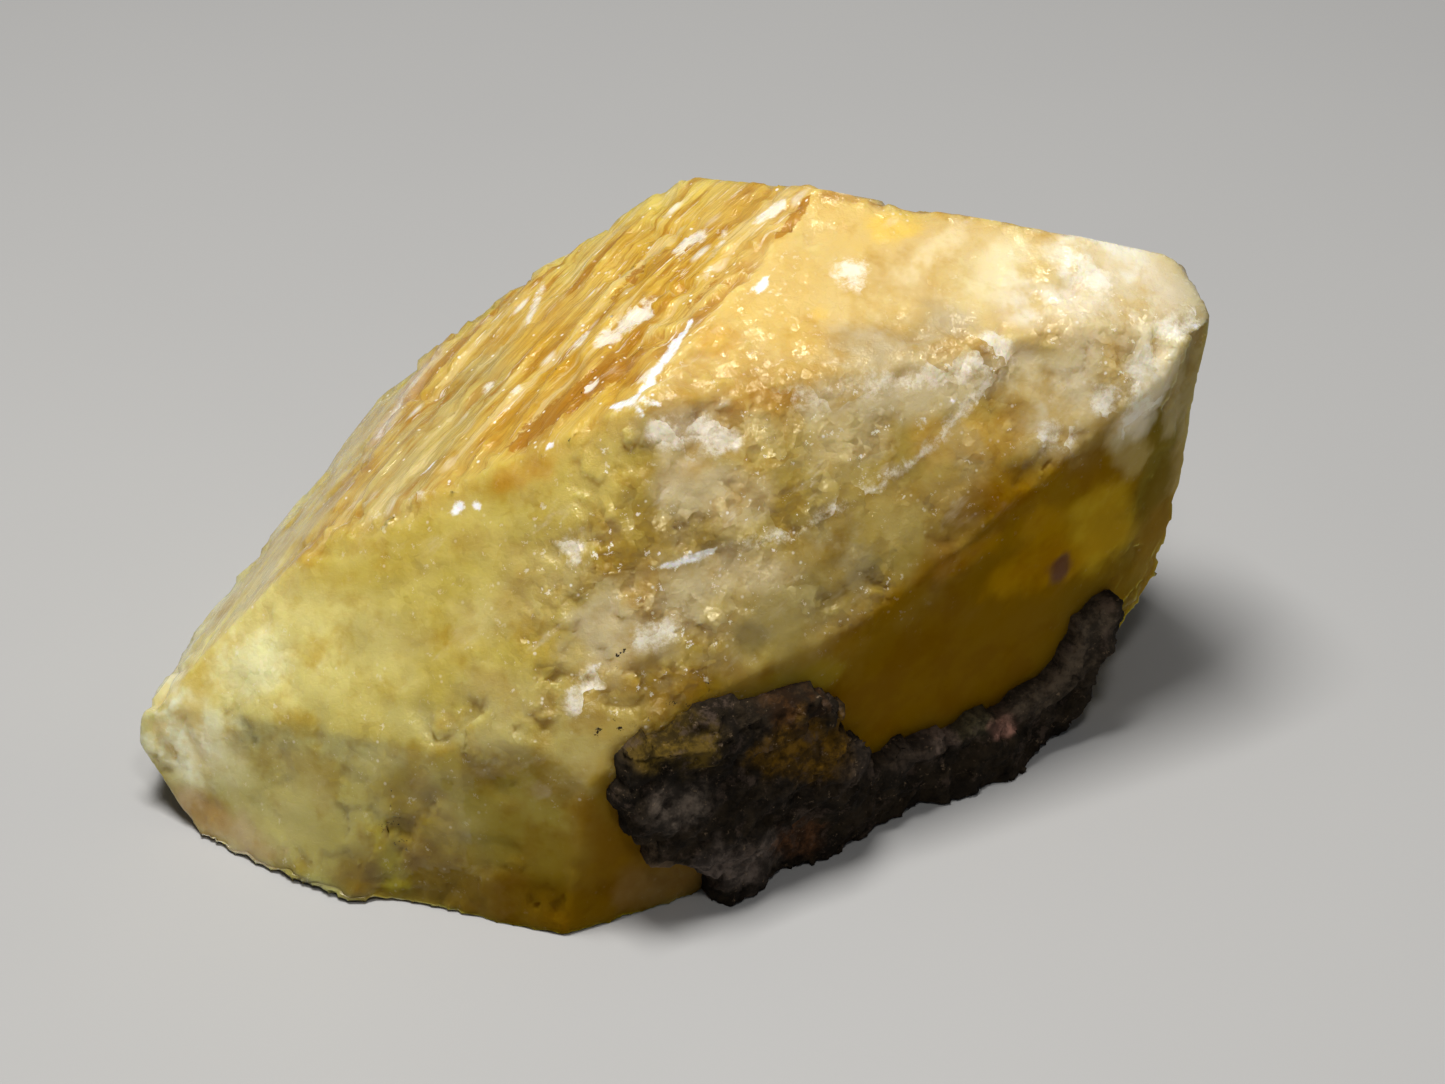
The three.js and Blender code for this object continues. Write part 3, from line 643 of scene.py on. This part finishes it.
def make_crystal():
    """The crystal with its relief, its colours and its masks."""
    piece = fine_copy("crystal", "datolite_crystal", CRYSTAL_GRAIN)
    mesh = piece.data
    points = coordinates(mesh)
    share = facet_shares(points, REACH, FACET_SPREAD)
    inner = np.max(np.stack(list(facet_shares(points, REACH, EDGE_SPREAD).values())), axis=0)
    edge = np.clip(2 * (1 - inner), 0, 1)
    steps = np.clip(facet_heights(points, REACH).max(axis=1), -0.2, 0.25)
    relief = crystal_relief(points, share, edge) - STEP_SOFTENING * steps
    place_vertices(mesh, points + directions(mesh) * relief[:, None])
    paint_crystal(mesh, points, share, edge)
    return piece


def paint_crystal(mesh, points, share, edge):
    """Lays the colours, marks what is sugary or streaked, and picks each face's material."""
    soft = facet_shares(points, REACH, TINT_SPREAD, TINT_WANDER)
    tint = sum(soft[name][:, None] * np.array(colour) for name, (colour, _) in FACET_LOOKS.items())
    sugary = sum(soft[name] * sugar for name, (_, sugar) in FACET_LOOKS.items())
    add_tint(mesh, "tint", np.clip(lay_tints(points, tint, TINTS, TINT_RAGGED), 0, 1))
    add_marks(mesh, points)
    add_attribute(mesh, "streaky", share["streaked"] + share["crest"] + 0.35 * share["rim"])
    clear = sum(soft[name] for name in CLEAR_FACETS)
    for start, end, radius, seed in CLEAR_PLACES:
        clear = np.maximum(clear, blot(points, start, end, radius, seed, TINT_RAGGED))
    sugary = (sugary + 0.25 * edge * (1 - share["base"])) * (1 - 0.85 * clear)
    add_attribute(mesh, "sugary", np.clip(sugary, 0, 1))
    corner = np.array([face.vertices[0] for face in mesh.polygons])
    mesh.polygons.foreach_set("material_index", (clear[corner] > 0.5).astype(np.int32))


def add_marks(mesh, points):
    """Marks where the surface is frosted, carries a painted highlight, is stained or is specked."""
    for name, places in MARKS.items():
        mark = np.zeros(len(points))
        for start, end, radius, strength in places:
            mark = np.maximum(mark, strength * fade(points, start, end, radius))
        add_attribute(mesh, name, mark)


# --- Host rock ---

ROCK_RAGGED = 0.8

# Patches of the rock: from, to, radius in mm, colour, strength, seed.
ROCK_TINTS = (
    # Honey and olive where the crystal shows through.
    ((-0.6, -9.1, 6.2), (0.7, -8.8, 6.0), 0.8, (0.16, 0.100, 0.012), 0.85, 201),
    ((3.1, -7.8, 5.2), (4.6, -6.9, 4.2), 0.9, (0.19, 0.095, 0.005), 0.9, 202),
    ((3.0, -7.7, 6.2), (3.8, -7.2, 5.9), 0.5, (0.09, 0.036, 0.008), 0.8, 203),
    ((8.5, -3.5, 2.5), (9.0, -3.2, 2.3), 0.5, (0.16, 0.135, 0.07), 0.7, 204),
    # Mauve grey and tan grains, and painted light on the far strip.
    ((-0.2, -9.5, 4.3), (0.7, -9.3, 4.2), 0.7, (0.14, 0.110, 0.085), 0.75, 205),
    ((-1.0, -8.9, 2.6), (-0.4, -8.9, 1.9), 0.7, (0.22, 0.15, 0.09), 0.8, 206),
    ((1.3, -8.8, 1.7), (2.6, -8.0, 1.2), 0.9, (0.18, 0.140, 0.115), 0.8, 207),
    ((3.1, -7.2, 1.4), (3.8, -6.8, 0.9), 0.6, (0.17, 0.070, 0.026), 0.7, 208),
    ((7.4, -4.1, 2.6), (7.8, -3.8, 2.3), 0.45, (0.28, 0.20, 0.155), 0.8, 209),
    ((9.4, -3.0, 2.0), (9.6, -2.8, 1.8), 0.35, (0.45, 0.23, 0.17), 0.9, 210),
    # Painted light: the far strip, which faces down into shade, lightened.
    ((10.4, -1.9, 2.4), (12.0, -1.2, 4.2), 1.1, (0.12, 0.090, 0.060), 0.85, 211),
    ((5.2, -6.6, 3.6), (7.0, -4.6, 2.4), 0.7, (0.080, 0.058, 0.042), 0.7, 212),
)


def meeting(points, normals):
    """How far each point of the rock's inner side moves to root in the crystal, and 0 elsewhere."""
    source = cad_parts["crystal"].data
    corners = [vertex.co / MM for vertex in source.vertices]
    tree = BVHTree.FromPolygons(corners, [face.vertices[:] for face in source.polygons])
    inward = np.zeros_like(points)
    for k, point in enumerate(points):
        near, _, _, gap = tree.find_nearest(Vector(point))
        if gap < ROCK_GAP_LIMIT:
            pull = np.array(near) - point
            if pull @ normals[k] > 0.25 * gap:
                inward[k] = pull / gap * (gap + ROCK_ROOT)
    return inward


def rock_relief(points):
    """Grit of two sizes, lumps and small holes."""
    warped = shaken_points(points, 0.3, 0.5, 81)
    grit = GRIT_DEPTH * terraces(warped, 0.7, 41, 1.2)
    grit += FINE_GRIT_DEPTH * terraces(warped, 0.3, 44, 1.2)
    grit += LUMP_DEPTH * (fractal(points, 1.4, 49) - 0.55)
    return grit - HOLE_DEPTH * ease_between(0.62, 0.75, noise(points, 0.5, 47))


def make_rock():
    """The plate of host rock, grown in to meet the crystal, with a gritty relief."""
    piece = fine_copy("matrix_crust", "host_rock", ROCK_GRAIN)
    mesh = piece.data
    points = coordinates(mesh)
    normals = directions(mesh)
    inward = meeting(points, normals)
    outer = np.linalg.norm(inward, axis=1) == 0
    place_vertices(mesh, points + inward + normals * (rock_relief(points) * outer)[:, None])
    tint = np.tile(ROCK_BROWN, (len(points), 1))
    add_tint(mesh, "tint", lay_tints(points, tint, ROCK_TINTS, ROCK_RAGGED))
    return piece


# --- Materials ---


class Shader:
    """A small builder for node materials."""

    def __init__(self, name):
        self.material = bpy.data.materials.new(name)
        self.material.use_nodes = True
        self.tree = self.material.node_tree
        self.tree.nodes.clear()
        self.surface = self.tree.nodes.new("ShaderNodeBsdfPrincipled")
        output = self.tree.nodes.new("ShaderNodeOutputMaterial")
        self.tree.links.new(self.surface.outputs[0], output.inputs[0])
        coordinate = self.tree.nodes.new("ShaderNodeTexCoord")
        self.place = self.math_vector("SCALE", coordinate.outputs["Object"], scale=1 / MM)

    def put(self, value, socket):
        """Links a node's output, or sets a plain value."""
        if isinstance(value, bpy.types.NodeSocket):
            self.tree.links.new(value, socket)
        elif hasattr(socket.default_value, "__len__") and len(socket.default_value) == 4:
            socket.default_value = (*value, 1) if len(value) == 3 else value
        else:
            socket.default_value = value

    def math_vector(self, operation, a, b=None, scale=None):
        """A vector operation on two vectors, or on a vector and a scale."""
        node = self.tree.nodes.new("ShaderNodeVectorMath")
        node.operation = operation
        self.put(a, node.inputs[0])
        if b is not None:
            self.put(b, node.inputs[1])
        if scale is not None:
            self.put(scale, node.inputs["Scale"])
        return node.outputs["Value" if operation == "DOT_PRODUCT" else "Vector"]

    def maths(self, operation, a, b=0.0, clamp=False):
        """An operation on two numbers."""
        node = self.tree.nodes.new("ShaderNodeMath")
        node.operation = operation
        node.use_clamp = clamp
        self.put(a, node.inputs[0])
        self.put(b, node.inputs[1])
        return node.outputs[0]

    def attribute(self, name, colour=False):
        """A number or a colour that is kept for each vertex."""
        node = self.tree.nodes.new("ShaderNodeAttribute")
        node.attribute_name = name
        return node.outputs["Color" if colour else "Fac"]

    def times(self, a, b):
        return self.maths("MULTIPLY", a, b)

    def plus(self, a, b):
        return self.maths("ADD", a, b)

    def most(self, *values):
        """The largest of several numbers."""
        most = values[0]
        for value in values[1:]:
            most = self.maths("MAXIMUM", most, value)
        return most

    def centred(self, value):
        """A number less a half."""
        return self.maths("SUBTRACT", value, 0.5)

    def noise(self, size, detail=3.0, place=None, rough=0.55):
        """Smooth noise from 0 to 1, with lumps of that size in mm."""
        node = self.tree.nodes.new("ShaderNodeTexNoise")
        self.put(place or self.place, node.inputs["Vector"])
        node.inputs["Scale"].default_value = 1 / size
        node.inputs["Detail"].default_value = detail
        node.inputs["Roughness"].default_value = rough
        return node.outputs["Fac"]

    def flakes(self, size, place):
        """Small flat patches, each leaning its own way: their height over a level face, in mm."""
        node = self.tree.nodes.new("ShaderNodeTexVoronoi")
        self.put(place, node.inputs["Vector"])
        node.inputs["Scale"].default_value = 1 / size
        away = self.math_vector("SUBTRACT", place, node.outputs["Position"])
        lean = self.math_vector("SUBTRACT", node.outputs["Color"], (0.5, 0.5, 0.5))
        return self.math_vector("DOT_PRODUCT", away, lean)

    def spots(self, size, share, place=None):
        """Small round spots, in that share of a grid of shaken cells."""
        node = self.tree.nodes.new("ShaderNodeTexVoronoi")
        self.put(place or self.place, node.inputs["Vector"])
        node.inputs["Scale"].default_value = 1 / size
        chosen = self.step(self.red(node.outputs["Color"]), 1 - share, 1 - share + 0.05)
        return self.times(self.step(node.outputs["Distance"], 0.12, 0.34, 1.0, 0.0), chosen)

    def red(self, colour):
        """The red part of a colour."""
        node = self.tree.nodes.new("ShaderNodeSeparateColor")
        self.put(colour, node.inputs[0])
        return node.outputs[0]

    def step(self, value, low, high, to_low=0.0, to_high=1.0):
        """A smooth step from one value to another."""
        node = self.tree.nodes.new("ShaderNodeMapRange")
        node.interpolation_type = "SMOOTHSTEP"
        self.put(value, node.inputs["Value"])
        node.inputs["From Min"].default_value = low
        node.inputs["From Max"].default_value = high
        node.inputs["To Min"].default_value = to_low
        node.inputs["To Max"].default_value = to_high
        return node.outputs[0]

    def ragged(self, mark, noise, spread):
        """A mark with a crisp, broken edge instead of its soft one."""
        broken = self.plus(mark, self.times(self.centred(noise), spread))
        return self.times(self.step(broken, 0.32, 0.46), self.step(mark, 0.0, 0.12))

    def shaken(self, size, depth):
        """Coordinates shaken by noise of that size, by up to about half that depth in mm."""
        node = self.tree.nodes.new("ShaderNodeTexNoise")
        self.put(self.place, node.inputs["Vector"])
        node.inputs["Scale"].default_value = 1 / size
        node.inputs["Detail"].default_value = 2
        centred = self.math_vector("SUBTRACT", node.outputs["Color"], (0.5, 0.5, 0.5))
        return self.math_vector("ADD", self.place, self.math_vector("SCALE", centred, scale=depth))

    def stretched(self, direction, share):
        """Coordinates shortened along a direction, so that a pattern on them runs long that way."""
        length = self.math_vector("DOT_PRODUCT", self.place, direction)
        back = self.math_vector("SCALE", direction, scale=self.times(length, -share))
        return self.math_vector("ADD", self.place, back)

    def mix(self, share, a, b, blend="MIX"):
        """Colour b laid over colour a by that share."""
        node = self.tree.nodes.new("ShaderNodeMix")
        node.data_type = "RGBA"
        node.blend_type = blend
        self.put(share, node.inputs[0])
        self.put(a, node.inputs[6])
        self.put(b, node.inputs[7])
        return node.outputs[2]

    def moved(self, offset):
        """Coordinates moved by some mm, for a pattern of its own."""
        return self.math_vector("ADD", self.place, offset)

    def times_colour(self, a, b):
        return self.mix(1.0, a, b, "MULTIPLY")

    def bump(self, height, depth, strength):
        """Fine relief, with its depth in mm."""
        node = self.tree.nodes.new("ShaderNodeBump")
        node.inputs["Strength"].default_value = strength
        node.inputs["Distance"].default_value = depth * MM
        self.put(height, node.inputs["Height"])
        return node.outputs["Normal"]

    def set(self, **sockets):
        """Fills the surface's sockets and gives the finished material."""
        for name, value in sockets.items():
            self.put(value, self.surface.inputs[name.replace("_", " ")])
        return self.material


# How much shorter a pattern's coordinates are along the streaks and out of their facet.
STREAK_STRETCH = 0.11
LENS_STRETCH = 0.42
STREAK_DEPTH_STRETCH = 0.35


def streak_place(s, stretch):
    """Coordinates that draw a pattern out along the streaks."""
    node = s.tree.nodes.new("ShaderNodeCombineXYZ")
    factors = (stretch, 1.0, STREAK_DEPTH_STRETCH)
    for k, direction in enumerate((STREAK_ALONG, STREAK_ACROSS, STREAK_NORMAL)):
        length = s.math_vector("DOT_PRODUCT", s.place, tuple(direction))
        s.put(s.times(length, factors[k]), node.inputs[k])
    return node.outputs[0]


def crystal_patterns(s):
    """The painted marks, and the patterns that several layers share.

    Among these, lean is how far a flake faces up or down, and flaky and live are where flakes and
    streaks show.
    """
    names = ("sugary", "streaky", "frost", "stain", "glint", "speck")
    p = SimpleNamespace(**{name: s.attribute(name) for name in names})
    p.grain = s.noise(0.30, 4, rough=0.75)
    p.sugar = s.noise(0.55, 5, rough=0.78)
    shaken = s.shaken(0.5, 0.6)
    p.flake, p.small_flake = s.flakes(1.3, shaken), s.flakes(0.38, shaken)
    p.lean = s.plus(p.flake, s.times(s.centred(p.sugar), 0.45))
    belt = s.step(s.noise(2.6, 3, rough=0.6), 0.42, 0.58)
    p.flaky = s.times(s.plus(s.times(belt, 0.85), 0.15), p.sugary)
    p.live = s.times(p.streaky, s.plus(s.times(belt, 0.7), 0.3))
    p.along = streak_place(s, STREAK_STRETCH)
    p.threads = s.noise(0.22, 3, place=p.along, rough=0.7)
    return p


def with_clouds(s, p, tint):
    """Soft clouds in the body: honey, pale and grey."""
    cloudy = s.step(p.sugary, 0.0, 0.3, 0.08, 1.0)
    honey = s.step(s.noise(2.1, 4, rough=0.62), 0.46, 0.62, 0.0, 0.85)
    honey = s.times(honey, s.maths("ADD", cloudy, 0.5, clamp=True))
    colour = s.mix(honey, tint, s.times_colour(tint, HONEY_FILTER))
    pale = s.noise(2.6, 4, place=s.moved((7.3, 1.9, 4.1)), rough=0.60)
    pale = s.times(s.step(pale, 0.46, 0.62, 0.0, 0.34), cloudy)
    colour = s.mix(pale, colour, s.mix(0.5, s.times_colour(tint, PALE_FILTER), CLOUD_AND_FLAKE_LIGHT))
    grey = s.noise(1.7, 4, place=s.moved((2.7, 8.3, 5.9)), rough=0.66)
    grey = s.times(s.step(grey, 0.50, 0.66, 0.0, 0.55), p.sugary)
    return s.mix(grey, colour, s.mix(0.5, tint, VEIL))


def with_flakes(s, p, colour):
    """Flakes with painted light and shade: each painted paler where it stands higher and darker
    where it sinks lower.
    """
    lit = s.times(s.step(p.lean, 0.02, 0.22, 0.0, 0.36), p.flaky)
    colour = s.mix(lit, colour, s.mix(0.5, colour, CLOUD_AND_FLAKE_LIGHT))
    shaded_side = s.times(s.step(p.lean, -0.18, -0.02, 0.42, 0.0), p.flaky)
    return s.mix(shaded_side, colour, s.times_colour(colour, FLAKE_SHADE_FILTER))


def with_streaks(s, p, colour):
    """Streaks along the growth direction: ochre hollows, pale crests and white lenses."""
    lines = s.noise(0.62, 4, place=p.along, rough=0.62)
    ochre = s.times(s.step(lines, 0.49, 0.58), p.live)
    colour = s.mix(s.times(ochre, 0.8), colour, OCHRE)
    cream = s.times(s.step(lines, 0.38, 0.47, 1.0, 0.0), p.streaky)
    colour = s.mix(s.times(cream, 0.5), colour, STREAK_CREAM)
    lenses = s.spots(0.62, 0.34, streak_place(s, LENS_STRETCH))
    white = s.times(s.most(s.step(p.threads, 0.61, 0.68), lenses), p.live)
    return s.mix(s.times(white, 0.8), colour, FROST_AND_SPARKLE_WHITE)


def whitening_and_sparkles(s, p):
    """How white the skin is: painted haze, wisps and fine specks, with sparkles that are painted
    highlights.
    """
    strand = s.noise(0.8, 4, place=s.stretched(WISP_ALONG, 0.75), rough=0.6)
    wisps = s.times(s.step(strand, 0.58, 0.74, 0.0, 0.55), p.flaky)
    dense = s.plus(s.times(p.lean, 0.4), s.centred(p.sugar))
    dense = s.plus(dense, s.times(p.frost, 0.5))
    haze = s.times(s.step(p.frost, 0.0, 0.35), s.step(dense, 0.05, 0.42, 0.0, 0.85))
    specks = s.times(s.step(p.grain, 0.62, 0.66, 0.0, 0.9), p.flaky)
    shown = s.maths("ADD", p.flaky, p.streaky, clamp=True)
    # Painted highlights: small white sparkle spots.
    sparkles = s.times(s.spots(0.20, 0.10), shown)
    return s.most(haze, wisps, specks, sparkles)


def painted_highlights(s, p):
    """Where a painted highlight lies: a bright flake drawn white."""
    shine = s.plus(p.glint, s.times(s.centred(p.grain), 1.1))
    return s.times(s.step(shine, 0.20, 0.62), s.step(p.glint, 0.0, 0.15))


def skin_relief(s, p):
    """The fine relief of the flakes, the sugary skin and the threads."""
    relief = s.plus(s.times(p.flake, 0.22), s.times(p.small_flake, 0.75))
    relief = s.times(relief, p.flaky)
    relief = s.plus(relief, s.times(p.sugar, s.step(p.sugary, 0.0, 0.8, 0.02, 0.07)))
    return s.plus(relief, s.times(s.times(p.threads, p.streaky), 0.10))


def crystal_material(name, gloss, smoothest, roughest, depth):
    """Honey-coloured crystal: light sinks in, and the skin is part glassy, part frosted."""
    s = Shader(name)
    p = crystal_patterns(s)
    frost, painted_highlight = whitening_and_sparkles(s, p), painted_highlights(s, p)

    colour = with_clouds(s, p, s.attribute("tint", colour=True))
    colour = with_streaks(s, p, with_flakes(s, p, colour))
    colour = s.mix(s.times(s.ragged(p.stain, p.grain, 0.8), 0.85), colour, OCHRE)
    # Frost and painted sparkles, then painted highlights, laid on in white.
    colour = s.mix(painted_highlight, s.mix(frost, colour, FROST_AND_SPARKLE_WHITE), HIGHLIGHT_WHITE)
    dots = s.times(s.step(p.speck, 0.2, 0.5), s.step(p.grain, 0.60, 0.63))
    colour = s.mix(dots, colour, SPECK_BLACK)

    rough = s.step(s.noise(0.7, 2, rough=0.7), 0.35, 0.65, smoothest, roughest)
    rough = s.plus(rough, s.times(frost, 0.10))
    rough = s.maths("SUBTRACT", rough, s.times(painted_highlight, 0.12), clamp=True)
    return s.set(
        Base_Color=colour,
        Roughness=rough,
        Normal=s.bump(skin_relief(s, p), depth=1.0, strength=0.9),
        IOR=1.6,
        Specular_IOR_Level=gloss,
        Specular_Tint=GLOSS_TINT,
        Subsurface_Weight=0.6,
        Subsurface_Radius=LIGHT_SPREAD,
        Subsurface_Scale=depth * MM,
    )


def rock_material():
    """Dark brown host rock with mauve and tan grains and a few honey windows."""
    s = Shader("host_rock")
    tint = s.attribute("tint", colour=True)
    mottle = s.step(s.noise(0.70, 6, rough=0.72), 0.40, 0.62)
    colour = s.mix(mottle, s.mix(0.75, tint, ROCK_BLACK), tint)
    mauve = s.noise(0.8, 6, place=s.moved((3.1, 6.2, 1.7)), rough=0.75)
    colour = s.mix(s.step(mauve, 0.53, 0.66, 0.0, 0.5), colour, ROCK_MAUVE)
    tan = s.noise(0.28, 5, rough=0.8)
    colour = s.mix(s.step(tan, 0.60, 0.68, 0.0, 0.6), colour, ROCK_TAN)
    normal = s.bump(s.noise(0.20, 7, rough=0.75), depth=0.07, strength=0.9)
    return s.set(
        Base_Color=colour, Roughness=0.9, Normal=normal, IOR=1.5, Specular_IOR_Level=0.12
    )


# --- Stage ---

# Places and lengths in mm, the elevation in degrees.
FLOOR_HALF = 600
FLOOR_TONES = ((0.44, 0.44, 0.44), (0.48, 0.48, 0.475))
LAMP_AIM = (0, 0, 6)
LAMP_COLOUR = (1.0, 0.98, 0.95)
SKY_COLOUR = (0.93, 0.96, 1.0, 1)
SKY_STRENGTH = 0.09
CAMERA_AIM = (1.465, -2.13, 7.84)
CAMERA_DISTANCE = 140
CAMERA_ELEVATION = 36
CAMERA_LENS = 125
CAMERA_SENSOR = 36
CAMERA_NEAR = 5


def make_floor():
    """A plain pale floor."""
    mesh = bpy.data.meshes.new("floor")
    half = FLOOR_HALF * MM
    corners = [(-half, -half, 0), (half, -half, 0), (half, half, 0), (-half, half, 0)]
    mesh.from_pydata(corners, [], [(0, 1, 2, 3)])
    floor = bpy.data.objects.new("floor", mesh)
    bpy.context.scene.collection.objects.link(floor)
    s = Shader("floor")
    tone = s.mix(s.noise(30, 3), *FLOOR_TONES)
    mesh.materials.append(s.set(Base_Color=tone, Roughness=0.85))


def make_light(name, place, size, power):
    """A soft square lamp that faces the crystal, with its place and size in mm."""
    data = bpy.data.lights.new(name, "AREA")
    data.size = size * MM
    data.energy = power
    data.color = LAMP_COLOUR
    lamp = bpy.data.objects.new(name, data)
    lamp.location = Vector(place) * MM
    aim = Vector(LAMP_AIM) * MM - lamp.location
    lamp.rotation_euler = aim.to_track_quat("-Z", "Y").to_euler()
    bpy.context.scene.collection.objects.link(lamp)


def make_world():
    """Even, weak light from all round."""
    world = bpy.data.worlds.new("studio")
    world.use_nodes = True
    background = world.node_tree.nodes["Background"]
    background.inputs["Color"].default_value = SKY_COLOUR
    background.inputs["Strength"].default_value = SKY_STRENGTH
    bpy.context.scene.world = world


def make_camera():
    """The camera, which looks along +Y and down."""
    data = bpy.data.cameras.new("camera")
    data.lens = CAMERA_LENS
    data.sensor_width = CAMERA_SENSOR
    data.clip_start = CAMERA_NEAR * MM
    camera = bpy.data.objects.new("camera", data)
    rise = math.radians(CAMERA_ELEVATION)
    back = Vector((0, -math.cos(rise), math.sin(rise)))
    camera.location = (Vector(CAMERA_AIM) + back * CAMERA_DISTANCE) * MM
    camera.rotation_euler = (math.pi / 2 - rise, 0, 0)
    bpy.context.scene.collection.objects.link(camera)
    bpy.context.scene.camera = camera


# --- The whole scene ---

CLOUDY = crystal_material("datolite_cloudy", gloss=0.35, smoothest=0.08, roughest=0.24, depth=1.7)
CLEAR = crystal_material("datolite_clear", gloss=0.0, smoothest=0.10, roughest=0.24, depth=2.4)

for node, make, materials, slot in (
    ("crystal", make_crystal, (CLOUDY, CLEAR), "datolite"),
    ("matrix_crust", make_rock, (rock_material(),), "host_rock"),
):
    made = make()
    for material in materials:
        made.data.materials.append(material)
    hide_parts(node)
    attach(made, "root")

make_floor()
make_world()
make_light("key", (-15, -12, 150), size=45, power=0.225)
make_light("fill", (15, -95, 150), size=20, power=0.045)
make_camera()
bpy.context.scene.view_settings.view_transform = "Standard"
